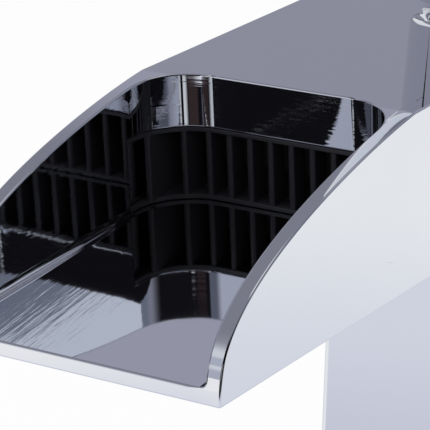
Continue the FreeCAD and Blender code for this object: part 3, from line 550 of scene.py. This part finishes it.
class CastingShape:
    """Arrays of the casting's edges, shared by its surfaces."""

    def __init__(self, casting, grille):
        self.y, self.z, self.s = rim_profile(casting)
        self.lip = casting.lip / MM
        self.fillet = casting.floor_fillet / MM
        self.radius = casting.channel_corner / MM
        self.length = casting.channel_length / MM
        self.channel = HALF - casting.wall / MM
        self.recess_height = grille.height / MM
        self.recess_back = self.length + grille.depth / MM
        self.recess_side = self.channel + RECESS_SHOULDER
        self.arc_start = self.length - self.radius
        self.recess_front = self.arc_start - RECESS_SHOULDER
        self.cos, self.sin = math.cos(casting.floor_angle), math.sin(casting.floor_angle)
        self.along = self.y * self.cos + (self.z - self.lip) * self.sin
        self.over = (self.z - self.lip) * self.cos - self.y * self.sin
        front = slice(0, FRONT_POINTS)
        self.s_floor = float(np.interp(0, self.over[front], self.s[front]))
        turn = np.linspace(0, QUARTER, 7)
        rises = self.fillet * (1 - np.cos(turn))
        self.s_fillet = np.interp(rises, self.over[front], self.s[front])
        self.x_fillet = self.channel - self.fillet + self.fillet * np.sin(turn)
        self.z_fillet = rises
        s_arc = float(np.interp(self.arc_start, self.along, self.s))
        self.s_wall = np.linspace(self.s_fillet[-1], s_arc, RIM_SPANS)
        turn = np.linspace(0, QUARTER, ARC_STEPS + 1)
        self.y_arc = self.arc_start + self.radius * np.sin(turn)
        self.x_arc = self.channel - self.radius + self.radius * np.cos(turn)
        self.s_arc = np.interp(self.y_arc, self.along, self.s)

    def on_top(self, x, s):
        """Points of the top surface from X and the arc length along its side profile."""
        return across(x, SPOUT_LOW[1] + np.interp(s, self.s, self.y),
                      DECK_TO_SPOUT + np.interp(s, self.s, self.z))

    def top_z(self, y):
        """Height of the top surface at a place along Y, behind the lip."""
        return DECK_TO_SPOUT + np.interp(y - SPOUT_LOW[1], self.y, self.z)

    def in_floor(self, x, y, z):
        """Points from the channel floor's own X, Y and Z."""
        y, z = np.asarray(y, float), np.asarray(z, float)
        return across(x, SPOUT_LOW[1] + y * self.cos - z * self.sin,
                      DECK_TO_SPOUT + self.lip + y * self.sin + z * self.cos)


def rim_patches(shape):
    """Lip, both rims and the shoulders round the channel's mouth.

    Rows of constant arc length run from the mouth's edge to the outer edge: the mouth's X grows
    along the floor fillet, stays on the straight wall and shrinks again round the rear corner.
    """
    flat = shape.channel - shape.fillet
    lip = shape.on_top(np.array([-HALF, -flat, flat, HALF])[None, :],
                       np.array([0, shape.s_floor])[:, None])
    s = np.concatenate([shape.s_fillet, shape.s_wall[1:], shape.s_arc[1:]])
    inner = np.concatenate([shape.x_fillet, np.full(len(shape.s_wall) - 1, shape.channel),
                            shape.x_arc[1:]])
    x = np.stack([inner, np.full(len(s), HALF)], axis=1)
    side = sheet(shape.on_top(x, s[:, None]))
    return [sheet(lip), side, mirrored(side)], s


def head_patches(shape, rim_s):
    """Top behind the channel with the round seat of the bonnet, beam sides, back and underside."""
    turn = np.linspace(-QUARTER, QUARTER, CIRCLE_STEPS // 2 + 1)
    arc_x, arc_y = arc_points(SEAT_RADIUS, turn).T
    half_arc = across(arc_x, arc_y, shape.top_z(arc_y))
    turn = np.linspace(0, QUARTER, 9)
    corner_x = HALF - COLUMN_CORNER + COLUMN_CORNER * np.cos(turn)
    corner_y = COLUMN_REAR - COLUMN_CORNER + COLUMN_CORNER * np.sin(turn)
    corner = across(corner_x, corner_y, shape.top_z(corner_y))
    wall_x = shape.channel - shape.radius
    wall_top = shape.on_top(np.array([0, wall_x, HALF]), rim_s[-1])
    rear_middle = across(0, COLUMN_REAR, shape.top_z(COLUMN_REAR)).reshape(1, 3)
    top = cap(wall_top, corner, rear_middle, half_arc[::-1])
    rim_edge = shape.on_top(HALF, np.concatenate([[0], rim_s]))
    low_side = across(HALF, np.array([COLUMN_REAR - COLUMN_CORNER, COLUMN_CORNER - COLUMN_REAR]),
                      DECK_TO_SPOUT)
    side = cap(rim_edge, corner[:1], low_side)
    low_corner = across(corner_x, corner_y, DECK_TO_SPOUT)
    upright = sheet([corner, low_corner])
    back = cap(corner[-1:], rear_middle, corner[-1:] * [-1, 1, 1],
                               low_corner[-1:] * [-1, 1, 1], low_corner[-1:])
    flat = shape.channel - shape.fillet
    front = across(np.array([-HALF, -flat, flat, HALF]), SPOUT_LOW[1], DECK_TO_SPOUT)
    notch = low_corner * [1, -1, 1]
    under = cap(front, notch, notch[::-1] * [-1, 1, 1])
    return both_sides([top, side, upright]) + [back, under, seat_rows(half_arc)]


def seat_rows(half_arc):
    """Stepped bore of the cartridge: circles from the sloping top down to the seat."""
    rim = np.concatenate([half_arc, half_arc[-2:0:-1] * [-1, 1, 1]])
    x, y = rim[:, 0] / SEAT_RADIUS, rim[:, 1] / SEAT_RADIUS
    face = BONNET_LOW[2]
    shoulder = face - SHOULDER_DROP
    rows = [(SEAT_RADIUS, face), (SHOULDER_RADIUS, face), (SHOULDER_RADIUS, shoulder),
            (CARTRIDGE_RADIUS, shoulder), (CARTRIDGE_RADIUS, face - SEAT_DROP)]
    circles = [across(x * radius, y * radius, z) for radius, z in rows]
    points, faces = sheet([rim] + circles, closed=True)
    bottom = list(range(len(points) - len(rim), len(points)))
    return points, faces + [bottom]


def column_patches():
    """Column from the spout down to the deck, the gasket's groove and the hollow inside.

    Each row is a rectangle with round corners; the rows are joined like a loft.
    """
    depth = 2 * COLUMN_REAR
    foot, foot_depth = 2 * HALF + COLUMN_FLARE, depth + COLUMN_FLARE
    outer = (foot - 2 * GASKET_INSET, foot_depth - 2 * GASKET_INSET)
    inner = (outer[0] - 2 * GASKET_WIDTH, outer[1] - 2 * GASKET_WIDTH)
    hollow = (2 * HALF - 2 * HOLLOW_WALL, depth - 2 * HOLLOW_WALL)
    sizes = [(2 * HALF, depth, COLUMN_CORNER, DECK_TO_SPOUT), (foot, foot_depth, COLUMN_CORNER, 0),
             (*outer, COLUMN_CORNER, 0), (*outer, COLUMN_CORNER, GASKET_DEPTH),
             (*inner, COLUMN_CORNER, GASKET_DEPTH), (*inner, COLUMN_CORNER, 0),
             (*hollow, HOLLOW_CORNER, 0), (*hollow, HOLLOW_CORNER, HOLLOW_ROOF)]
    loops = [rounded_rectangle(*size) for size in sizes]
    return [sheet(loops, closed=True), cap(loops[-1])]


def channel_patches(shape):
    """Walls, fillets, floor and band of the open channel, and the front of the grille's recess."""
    high = shape.recess_height
    flat = shape.channel - shape.fillet
    mouth = shape.on_top(shape.channel, shape.s_wall)
    corners = shape.in_floor(shape.channel,
                             [shape.arc_start, shape.recess_front, shape.recess_front],
                             [high, high, shape.fillet])
    wall = cap(mouth, corners)
    arc = sheet([shape.on_top(shape.x_arc, shape.s_arc),
                          shape.in_floor(shape.x_arc, shape.y_arc, high)])
    fillet_front = shape.on_top(shape.x_fillet, shape.s_fillet)
    fillet_back = shape.in_floor(shape.x_fillet, shape.recess_front, shape.z_fillet)
    fillet = sheet([fillet_front, fillet_back])
    step = cap(fillet_back, shape.in_floor(
        [shape.channel, shape.recess_side, shape.recess_side], shape.recess_front, [high, high, 0]))
    ends = [shape.recess_front, shape.recess_back, shape.recess_back, shape.recess_front]
    recess_side = cap(shape.in_floor(shape.recess_side, ends, [0, 0, high, high]))
    wall_x = shape.channel - shape.radius
    band_top = shape.on_top(np.array([-wall_x, 0, wall_x]), shape.s_arc[-1])
    band = cap(band_top, shape.in_floor([wall_x, -wall_x], shape.length, high))
    outline = shape.in_floor([flat, shape.recess_side, shape.recess_side],
                             [shape.recess_front, shape.recess_front, shape.recess_back], 0)
    lip_edge = shape.on_top(np.array([-flat, flat]), shape.s_floor)
    floor = cap(lip_edge, outline, outline[::-1] * [-1, 1, 1])
    edge_x = [shape.recess_side, shape.recess_side, shape.channel, *shape.x_arc]
    edge_y = [shape.recess_back, shape.recess_front, shape.recess_front, *shape.y_arc]
    edge = shape.in_floor(edge_x, edge_y, high)
    roof = cap(edge, edge[::-1] * [-1, 1, 1])
    return both_sides([wall, arc, fillet, step, recess_side]) + [band, floor, roof]


def duct_patches(shape):
    """Duct behind the grille, unplated inside and painted near black as shade: loops that step from
    the recess to the throat's end.
    """
    side, high, back = shape.recess_side, shape.recess_height, shape.recess_back
    throat = (DUCT_HALF, DUCT_STEP, high - DUCT_STEP)
    loops = [(side, 0, high, back), (*throat, back), (*throat, back + DUCT_DEPTH)]
    rows = [shape.in_floor([-x, x, x, -x], y, [low, low, top, top]) for x, low, top, y in loops]
    return [sheet(rows, closed=True), cap(rows[-1])]


class FAUCET_OT_casting(bpy.types.Operator):
    """Column and spout as one chromed casting with an open channel"""
    bl_idname = "faucet.casting"
    bl_label = "Casting"

    def execute(self, context):
        scene = context.scene
        shape = CastingShape(scene.faucet_casting, scene.faucet_grille)
        rims, rim_s = rim_patches(shape)
        patches = rims + head_patches(shape, rim_s) + column_patches() + channel_patches(shape)
        chrome = casting_chrome(scene.faucet_finish.chrome, scene.faucet_casting)
        # The duct's material is unplated metal painted near black as shade.
        duct_shade = moulded("unplated duct painted shade", scene.faucet_finish.unplated_duct_shade, 0.7)
        build_piece("casting", [(chrome, patches), (duct_shade, duct_patches(shape))], "base",
                    ("spout", "column"), scene.faucet_casting.edge / MM)
        return {"FINISHED"}


# ---- grille ----
class FAUCET_OT_grille(bpy.types.Operator):
    """Row of upright fins between two bars, following the channel's round rear wall"""
    bl_idname = "faucet.grille"
    bl_label = "Flow grille"

    def execute(self, context):
        scene = context.scene
        grille = scene.faucet_grille
        shape = CastingShape(scene.faucet_casting, grille)
        gap, bar = 0.1, grille.bar / MM
        side, back = shape.recess_side - gap, shape.recess_back - gap
        high = shape.recess_height - gap
        turn = np.linspace(0, QUARTER, ARC_STEPS + 1)
        front_x = np.concatenate([[side, shape.channel], shape.x_arc])
        front_y = np.concatenate([[shape.recess_front + gap] * 2, shape.y_arc])
        outline_x = np.concatenate([front_x, -front_x[::-1], [-side, side]])
        outline_y = np.concatenate([front_y, front_y[::-1], [back, back]])
        patches = []
        for low, top in ((gap, gap + bar), (high - bar, high)):
            rows = [shape.in_floor(outline_x, outline_y, z) for z in (low, top)]
            patches += [sheet(rows, closed=True), cap(rows[0]), cap(rows[1])]
        count, half = grille.fins, grille.fin / MM / 2
        nose = np.linspace(0, math.pi, 9)
        for index in range(count):
            middle = (index - (count - 1) / 2) * grille.pitch / MM + grille.shift / MM
            inset = max(abs(middle) - (shape.channel - shape.radius), 0.0)
            face = shape.arc_start + math.sqrt(max(shape.radius ** 2 - inset ** 2, 0.0))
            x = np.concatenate([middle + half * np.cos(nose), [middle - half, middle + half]])
            y = np.concatenate([face + half - half * np.sin(nose) * 0.8, [back, back]])
            rows = [shape.in_floor(x, y, z) for z in (gap + bar / 2, high - bar / 2)]
            patches += [sheet(rows, closed=True), cap(rows[0]), cap(rows[1])]
        plastic = moulded("grille plastic", scene.faucet_finish.grille, 0.36, 0.3)
        build_piece("grille", [(plastic, patches)], "base", ("flow_grille",),
                    0.12, segments=2)
        return {"FINISHED"}


# ---- bonnet ----
class FAUCET_OT_bonnet(bpy.types.Operator):
    """Turned cover with softened edges between its two cones"""
    bl_idname = "faucet.bonnet"
    bl_label = "Bonnet"

    def execute(self, context):
        outer, inner = [arc_points(reach, np.radians(CAP_ANGLES)) + [0, PIVOT[2]]
                        for reach in (CAP_OUTER, CAP_INNER)]
        low = BONNET_LOW[2]
        corners = [(CAP_BORE, low + CAP_SEAT), (CAP_BORE, low), (outer[0][0], low), *outer,
                   (CAP_OPENING, outer[2][1]), (CAP_OPENING, inner[2][1]), inner[1],
                   (CAP_BORE, inner[0][1]), (CAP_BORE, low + CAP_SEAT)]
        profile = softened(corners, CAP_EDGE)
        chrome = polished_metal("bonnet chrome", context.scene.faucet_finish.chrome, 0.04, 0.02)
        build_piece("bonnet_cover", [(chrome, [sheet(turned(profile), closed=True)])], "base",
                    ("bonnet",), angle=50.0)
        return {"FINISHED"}


# ---- lever ----
def lever_patches(lever):
    """Hub, arm and the hollow under the hub as one shell, in the lever's own frame."""
    slope = math.tan(lever.rise + lever.lean)
    flat = math.cos(lever.rise + lever.lean)
    radius, top = lever.hub_radius / MM, lever.hub_top / MM
    root, tip = lever.root_width / MM / 2, lever.tip_width / MM / 2
    reach = lever.arm_length / MM * flat
    thick = np.array([lever.root_thickness, lever.tip_thickness]) / MM
    tip_length = tip * flat
    side_y = np.linspace(-math.sqrt(radius ** 2 - root ** 2), tip_length - reach, 24)
    crotch_x = root + (tip - root) * side_y[0] / (tip_length - reach)
    side_y[0] = -math.sqrt(radius ** 2 - crotch_x ** 2)
    side_x = root + (tip - root) * side_y / (tip_length - reach)
    side_x[0] = crotch_x
    turn = np.linspace(0, math.pi, 25)[1:-1]
    arm = np.concatenate([
        np.stack([side_x, side_y], axis=1),
        np.stack([tip * np.cos(turn), tip_length - reach - tip_length * np.sin(turn)], axis=1),
        np.stack([-side_x[::-1], side_y[::-1]], axis=1)])
    start = math.atan2(-side_y[0], -crotch_x)
    behind = np.linspace(math.pi + (math.pi - start), -(math.pi - start), 97)[1:-1]
    behind = arc_points(radius, behind)
    crotch = math.atan2(side_y[0], crotch_x)
    front = arc_points(radius, np.linspace(crotch, -math.pi - crotch, 25))

    def on_plane(points, drop=0.0):
        return across(points[:, 0], points[:, 1], top - points[:, 1] * slope - drop)

    def under(points):
        share = np.clip(-points[:, 1] / reach, 0, 1)
        return on_plane(points, (thick[0] + (thick[1] - thick[0]) * share) / flat)

    rim = HUB_HOLLOW * math.cos(math.radians(HUB_RIM))
    cone = math.radians(HUB_CONE)
    rim_radius = (HUB_HOLLOW - rim * math.cos(cone)) / math.sin(cone)
    roof_radius = HUB_HOLLOW * (1 - math.cos(cone)) / math.sin(cone)
    round_hub = np.concatenate([behind, front])
    level = [across(round_hub[:, 0] * share, round_hub[:, 1] * share, z)
             for share, z in ((1.0, rim), (rim_radius / radius, rim),
                              (roof_radius / radius, HUB_HOLLOW))]
    back = np.concatenate([arm[-1:], behind, arm[:1]])
    return [
        cap(on_plane(arm), on_plane(behind)),
        sheet([on_plane(arm), under(arm)]),
        cap(under(arm), under(front[::-1][1:-1])),
        sheet([under(front), across(front[:, 0], front[:, 1], rim)]),
        sheet([on_plane(back), across(back[:, 0], back[:, 1], rim)]),
        sheet(level, closed=True),
        cap(level[-1])]


def lever_frame(lever):
    """Place of the lever when the water is shut: at the pivot, leaning forward."""
    return Matrix.Translation(PIVOT.tolist()) @ Matrix.Rotation(lever.lean, 4, "X")


class FAUCET_OT_lever(bpy.types.Operator):
    """Hub and flat arm in one casting"""
    bl_idname = "faucet.lever"
    bl_label = "Lever"

    def execute(self, context):
        scene = context.scene
        lever = scene.faucet_lever
        patches = [place(patch, lever_frame(lever)) for patch in lever_patches(lever)]
        chrome = polished_metal("lever chrome", scene.faucet_finish.chrome, 0.035, 0.02)
        build_piece("lever", [(chrome, patches)], "lever", ("lever_handle",),
                    lever.edge / MM, segments=4, angle=40.0)
        return {"FINISHED"}


class FAUCET_OT_plug(bpy.types.Operator):
    """Round index plug, hot on one half and cold on the other"""
    bl_idname = "faucet.plug"
    bl_label = "Index plug"

    def execute(self, context):
        scene = context.scene
        profile = softened([(ON_AXIS, 0), (PLUG_RADIUS, 0), (PLUG_RADIUS, PLUG_LENGTH),
                            (ON_AXIS, PLUG_LENGTH)], PLUG_EDGE)
        points = turned(profile, 64)
        axis = lever_frame(scene.faucet_lever) @ Matrix.Translation((0, PLUG_FRONT, PLUG_HEIGHT))
        axis = axis @ Matrix.Rotation(QUARTER, 4, "X")
        patches = [sheet(points, closed=True), cap(points[0]), cap(points[-1])]
        plastic = two_coloured("index plastic", scene.faucet_finish.hot, scene.faucet_finish.cold)
        patches = [place(patch, axis) for patch in patches]
        build_piece("hot_cold_plug", [(plastic, patches)], "lever", ("index_plug",),
                    angle=60.0)
        return {"FINISHED"}


# ---- deck fixing ----
def stud_patches():
    """Stud whose radius follows a sawtooth that climbs one pitch per turn."""
    low, high = STUD_LOW[2], STUD_HIGH[2]
    rows = np.linspace(low, high, int((high - low) / STUD_PITCH * ROWS_PER_PITCH) + 1)[:, None]
    turn = np.arange(STUD_STEPS)[None, :] / STUD_STEPS * 2 * math.pi
    tooth = np.abs(((rows / STUD_PITCH + turn / (2 * math.pi)) % 1.0) * 2 - 1)
    core = STUD_RADIUS - THREAD_DEPTH
    ends = np.clip(np.minimum(rows - low, high - rows), 0, THREAD_DEPTH)
    r = np.minimum(STUD_RADIUS - THREAD_DEPTH * tooth, core + ends)
    points = across(r * np.cos(turn), STUD_Y + r * np.sin(turn), rows)
    return [sheet(points, closed=True), cap(points[0]), cap(points[-1])]


def nut_patches():
    """Hexagon nut: each ring is the hexagon cut by the chamfers' cones."""
    flats = (NUT_HIGH[1] - NUT_LOW[1]) / 2
    turn = np.arange(NUT_STEPS)[None, :] / NUT_STEPS * 2 * math.pi
    hexagon = flats / np.cos((turn - math.pi / 6) % (math.pi / 3) - math.pi / 6)
    bottom, top = NUT_LOW[2], NUT_HIGH[2]
    near, far = NUT_LEVELS
    z = np.array([bottom, bottom + near, bottom + far, top - far, top - near, top])[:, None]
    r = np.minimum(hexagon, flats * NUT_CONE + np.minimum(z - bottom, top - z) * NUT_SLOPE)
    body = across(r * np.cos(turn), STUD_Y + r * np.sin(turn), z)
    bore = across(NUT_BORE * np.cos(turn), STUD_Y + NUT_BORE * np.sin(turn),
                  np.array([bottom, top])[:, None])
    rows = np.concatenate([bore[:1], body, bore[1:], bore[:1]])
    return [sheet(rows, closed=True)]


class FAUCET_OT_fixing(bpy.types.Operator):
    """Threaded stud and its hexagon nut with turned chamfers"""
    bl_idname = "faucet.fixing"
    bl_label = "Deck fixing"

    def execute(self, context):
        finish = context.scene.faucet_finish
        steel = turned_metal("zinc plated steel", finish.steel, 0.32)
        build_piece("threaded_stud", [(steel, stud_patches())], "base", ("mounting_stud",),
                    angle=80.0)
        brass = turned_metal("turned brass", finish.brass, 0.25)
        build_piece("hexagon_nut", [(brass, nut_patches())], "base", ("stud_nut",))
        return {"FINISHED"}


class FAUCET_OT_inner(bpy.types.Operator):
    """Materials of the cartridge, seals, washers and screw, which keep their solid forms"""
    bl_idname = "faucet.inner"
    bl_label = "Inner parts"

    def execute(self, context):
        finish = context.scene.faucet_finish
        light = moulded("cartridge plastic", finish.cartridge, 0.42)
        dark = moulded("carrier plastic", finish.grille, 0.4)
        rubber = moulded("rubber", finish.rubber, 0.62, 0.5)
        ceramic = moulded("lapped ceramic", finish.ceramic, 0.18, 0.05)
        steel = turned_metal("bright steel", finish.steel, 0.28)
        brass = turned_metal("machined brass", finish.brass, 0.28)
        limit = moulded("limit ring plastic", finish.hot, 0.4)
        finishes = {
            light: ("cartridge_base", "cartridge_housing", "rotor"),
            dark: ("disc_carrier",),
            rubber: ("port_seals", "base_gasket", "rubber_washer"),
            ceramic: ("fixed_disc", "moving_disc"),
            steel: ("stem_pin", "lever_screw", "steel_washer"),
            brass: ("stem", "retaining_nut", "inlet_sockets"),
            limit: ("limit_ring",),
        }
        for material, names in finishes.items():
            for name in names:
                node = frame["nodes"][name]
                for slot in node.material_slots:
                    slot.material = material
        return {"FINISHED"}


# ---- stage ----
CAMERA_PLACE, CAMERA_TURN = (0.17408, -0.38757, 0.21756), (71.80, 0.0, 31.57)
LAMP_PLACE, LAMP_TURN = (-0.45, -0.35, 1.1), (-18.0, -24.0, 0.0)
LAMP_SIZE, LAMP_POWER = (0.9, 0.7), 5.5
FLOOR_RADIUS, FLOOR_GAP, FLOOR_STEPS = 6000.0, 0.05, 96

# Parts of the studio that a mirror sees: the azimuths at which each begins and ends and the
# widths of these soft edges, in degrees, then the sines of elevation over which it fades out.
STUDIO = (
    ((116.0, 144.9, 24.0, 0.4), (0.6, 0.75)),    # wall at the rear right
    ((-10.0, 106.0, 12.0, 36.0), (0.62, 0.85)),  # dark room on the camera's side
    ((-30.0, -6.0, 4.0, 3.0), (0.6, 0.8)),       # glow beside it
    ((-48.0, -24.0, 18.0, 14.0), (0.6, 0.8)),    # panel at the front left
    ((-78.0, -56.0, 12.0, 8.0), (0.3, 0.5)),     # shade left of the panel
    ((-60.0, -34.5, 6.0, 3.0), (0.12, 0.2)),     # dark corner under the panel
    ((1.5, 18.5, 2.0, 3.0), (0.30, 0.36)),       # brown patch
    ((22.0, 27.9, 5.5, 0.3), (0.29, 0.33)),      # lamp
    ((32.1, 35.2, 0.4, 0.6), (0.28, 0.3)),       # narrow lamp
)
# Dark ends of the table: azimuths as above, then the distances over which they begin.
TABLE_ENDS = (((0.0, 96.0, 16.0, 14.0), (380.0, 520.0)),
              ((-75.0, -35.0, 10.0, 4.0), (560.0, 700.0)))


def degrees_round(shader, x, y):
    """Azimuth in degrees, from the front towards the right."""
    turn = shader.add("ShaderNodeMath", {"operation": "ARCTAN2"}, {0: x, 1: y * -1.0})
    return turn * (180 / math.pi)


def strip(azimuth, low, high, soft_low, soft_high):
    """1 between two azimuths, with a soft edge of its own width at each side."""
    return azimuth.ramp(low - soft_low / 2, low + soft_low / 2) \
        * (1.0 - azimuth.ramp(high - soft_high / 2, high + soft_high / 2))


def finish_tree(shader, kind, surface):
    """Links a surface to the tree's output node."""
    output = shader.tree.nodes.new(kind)
    shader.tree.links.new(surface.socket, output.inputs["Surface"])


def studio_world(stage):
    """World that is white to the camera and a plain studio to the metal.

    A mirror sees a grey sky all round and a bright window high at the rear right. On the camera's
    side stands a dark room with two narrow lamps and a brown patch, behind it on the right a wall
    with a lighter part, and at the front left a panel between a glow and a shade.
    """
    world = bpy.data.worlds.new("studio")
    world.use_nodes = True
    bpy.context.scene.world = world
    shader = Shader(world.node_tree)
    direction = shader.add("ShaderNodeTexCoord", {}, {}, "Generated")
    x, y, z = [shader.add("ShaderNodeSeparateXYZ", {}, {0: direction}, axis) for axis in range(3)]
    azimuth = degrees_round(shader, x, y)
    wall, room, glow, panel, shade, corner, brown, lamp, thin = [
        strip(azimuth, *span) * (1.0 - z.ramp(*fade)) for span, fade in STUDIO]
    tone = shader.mix(z.ramp(0.36, 0.44), rgba(stage.sky), rgba(stage.sky, 1.16))
    tone = shader.mix(z.ramp(0.5, 0.68), tone, rgba(stage.sky, 0.77))
    slant = z + (azimuth - 141.0).maximum(0.0) * 0.0065
    light = slant.ramp(0.464, 0.470) * azimuth.ramp(133.0, 138.0)
    plaster = shader.mix(light, (0.17, 0.19, 0.25, 1.0), (0.62, 0.66, 0.76, 1.0))
    stripes = z.ramp(0.12, 0.2) * (1.0 - z.ramp(0.22, 0.26)) + z.ramp(0.37, 0.44)
    front = shader.mix(stripes, (0.46, 0.49, 0.59, 1.0), (0.70, 0.72, 0.78, 1.0))
    front = shader.mix(z.ramp(0.48, 0.66), front, (0.31, 0.315, 0.38, 1.0))
    lamps = (lamp + thin * z.ramp(0.2, 0.24) * 0.8).minimum(1.0)
    window = x.ramp(-0.02, 0.06) * y.ramp(-0.1, 0.0) * z.ramp(0.92, 0.97)
    for mask, seen in ((wall, plaster), (room, rgba(stage.room)),
                       (glow, (0.115, 0.125, 0.17, 1.0)), (panel, front),
                       (shade * z.ramp(0.05, 0.15), (0.11, 0.115, 0.15, 1.0)),
                       (corner, rgba(stage.room, 3.0)), (brown, (0.040, 0.027, 0.028, 1.0)),
                       (lamps, (0.72, 0.74, 0.78, 1.0)), (window, (0.95, 0.95, 0.96, 1.0))):
        tone = shader.mix(mask, tone, seen)
    mirror = shader.add("ShaderNodeLightPath", {}, {}, "Is Glossy Ray")
    camera = shader.add("ShaderNodeLightPath", {}, {}, "Is Camera Ray")
    plain = shader.mix(camera, (0.55, 0.55, 0.56, 1.0), WHITE)
    background = shader.add("ShaderNodeBackground", {}, {"Color": shader.mix(mirror, plain, tone)})
    finish_tree(shader, "ShaderNodeOutputWorld", background)


def studio_floor(stage):
    """Pale round floor under the faucet, white to the camera.

    The metal sees it bluish close to the column and nearly white further out, plain pale on the
    left, and dark where the table ends: towards the camera's side and at the front left.
    """
    low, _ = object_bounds()
    points = turned([(ON_AXIS, 0.0), (FLOOR_RADIUS, 0.0)], FLOOR_STEPS)
    points[..., 2] = low[2] / MM - FLOOR_GAP
    vertices, quads = sheet(points, closed=True)
    mesh = bpy.data.meshes.new("floor")
    mesh.from_pydata((vertices * MM).tolist(), [], quads)
    floor = linked("floor", mesh)
    floor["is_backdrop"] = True
    material, shader = new_material("floor paint")
    vector, (x, y, _) = shader.place()
    grain = shader.noise(vector, 40.0, detail=4.0)
    pale = shader.mix(grain, rgba(stage.floor_colour, 0.995), rgba(stage.floor_colour, 1.005))
    diffuse = shader.add("ShaderNodeBsdfDiffuse", {}, {"Color": pale})
    distance = shader.add("ShaderNodeVectorMath", {"operation": "LENGTH"}, {0: vector}, "Value")
    distance = distance * (1 / MM)
    azimuth = degrees_round(shader, x, y)
    front = shader.mix(distance.ramp(220.0, 350.0), (0.655, 0.67, 0.78, 1.0),
                       (0.77, 0.785, 0.885, 1.0))
    front = shader.mix(distance.ramp(488.0, 556.0), front, (0.97, 0.975, 1.0, 1.0))
    beside = strip(azimuth, -150.0, -42.0, 10.0, 14.0)
    front = shader.mix(beside, front, (0.95, 0.955, 0.97, 1.0))
    rear = shader.mix(distance.ramp(230.0, 430.0), (0.77, 0.80, 0.895, 1.0),
                      (0.95, 0.96, 0.985, 1.0))
    tone = shader.mix(y.ramp(-60.0, 60.0), front, rear)
    for span, fade in TABLE_ENDS:
        dark = strip(azimuth, *span) * distance.ramp(*fade)
        tone = shader.mix(dark, tone, rgba(stage.room, 3.0))
    white = shader.add("ShaderNodeEmission", {}, {"Color": WHITE, "Strength": 1.0})
    seen = shader.add("ShaderNodeEmission", {}, {"Color": tone, "Strength": 1.0})
    camera = shader.add("ShaderNodeLightPath", {}, {}, "Is Camera Ray")
    mirror = shader.add("ShaderNodeLightPath", {}, {}, "Is Glossy Ray")
    mixed = shader.add("ShaderNodeMixShader", {}, {0: camera * 0.95, 1: diffuse, 2: white})
    mixed = shader.add("ShaderNodeMixShader", {}, {0: mirror * 0.96, 1: mixed, 2: seen})
    finish_tree(shader, "ShaderNodeOutputMaterial", mixed)
    mesh.materials.append(material)


class FAUCET_OT_stage(bpy.types.Operator):
    """Camera at the photograph's angle, soft box, world and floor"""
    bl_idname = "faucet.stage"
    bl_label = "Stage"

    def execute(self, context):
        scene = context.scene
        stage = scene.faucet_stage
        camera = linked("camera", bpy.data.cameras.new("camera"))
        camera.location = CAMERA_PLACE
        camera.rotation_euler = [math.radians(angle) for angle in CAMERA_TURN]
        camera.data.lens = stage.lens
        camera.data.sensor_width = 36.0
        camera.data.clip_start = 0.01
        scene.camera = camera
        camera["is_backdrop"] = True
        lamp = linked("soft box", bpy.data.lights.new("soft box", "AREA"))
        lamp.data.shape = "RECTANGLE"
        lamp.data.size, lamp.data.size_y = LAMP_SIZE
        lamp.data.energy = LAMP_POWER
        lamp.location = LAMP_PLACE
        lamp.rotation_euler = [math.radians(angle) for angle in LAMP_TURN]
        lamp.visible_glossy = False
        lamp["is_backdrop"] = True
        studio_world(stage)
        studio_floor(stage)
        scene.view_settings.view_transform = "Standard"
        return {"FINISHED"}


class FAUCET_PT_panel(bpy.types.Panel):
    """Lists the faucet's pieces, sizes and colours"""
    bl_label = "Waterfall basin faucet"
    bl_idname = "FAUCET_PT_panel"
    bl_space_type = "VIEW_3D"
    bl_region_type = "UI"
    bl_category = "Faucet"

    def draw(self, context):
        for operator in OPERATORS:
            self.layout.operator(operator.bl_idname, text=operator.bl_label)
        for name in GROUPS:
            group = getattr(context.scene, name)
            box = self.layout.box()
            for key in group.bl_rna.properties.keys():
                if key not in ("rna_type", "name"):
                    box.prop(group, key)


GROUPS = {
    "faucet_casting": FaucetCasting,
    "faucet_grille": FaucetGrille,
    "faucet_lever": FaucetLever,
    "faucet_finish": FaucetFinish,
    "faucet_stage": FaucetStage,
}
OPERATORS = (FAUCET_OT_casting, FAUCET_OT_grille, FAUCET_OT_bonnet, FAUCET_OT_lever, FAUCET_OT_plug,
             FAUCET_OT_fixing, FAUCET_OT_inner, FAUCET_OT_stage)
CLASSES = tuple(GROUPS.values()) + OPERATORS + (FAUCET_PT_panel,)


def register():
    for item in CLASSES:
        bpy.utils.register_class(item)
    for name, group in GROUPS.items():
        setattr(bpy.types.Scene, name, bpy.props.PointerProperty(type=group))


def unregister():
    for name in GROUPS:
        delattr(bpy.types.Scene, name)
    for item in reversed(CLASSES):
        bpy.utils.unregister_class(item)


def main():
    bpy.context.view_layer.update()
    register()
    for operator in OPERATORS:
        family, name = operator.bl_idname.split(".")
        getattr(getattr(bpy.ops, family), name)()


if __name__ == "__main__":
    main()
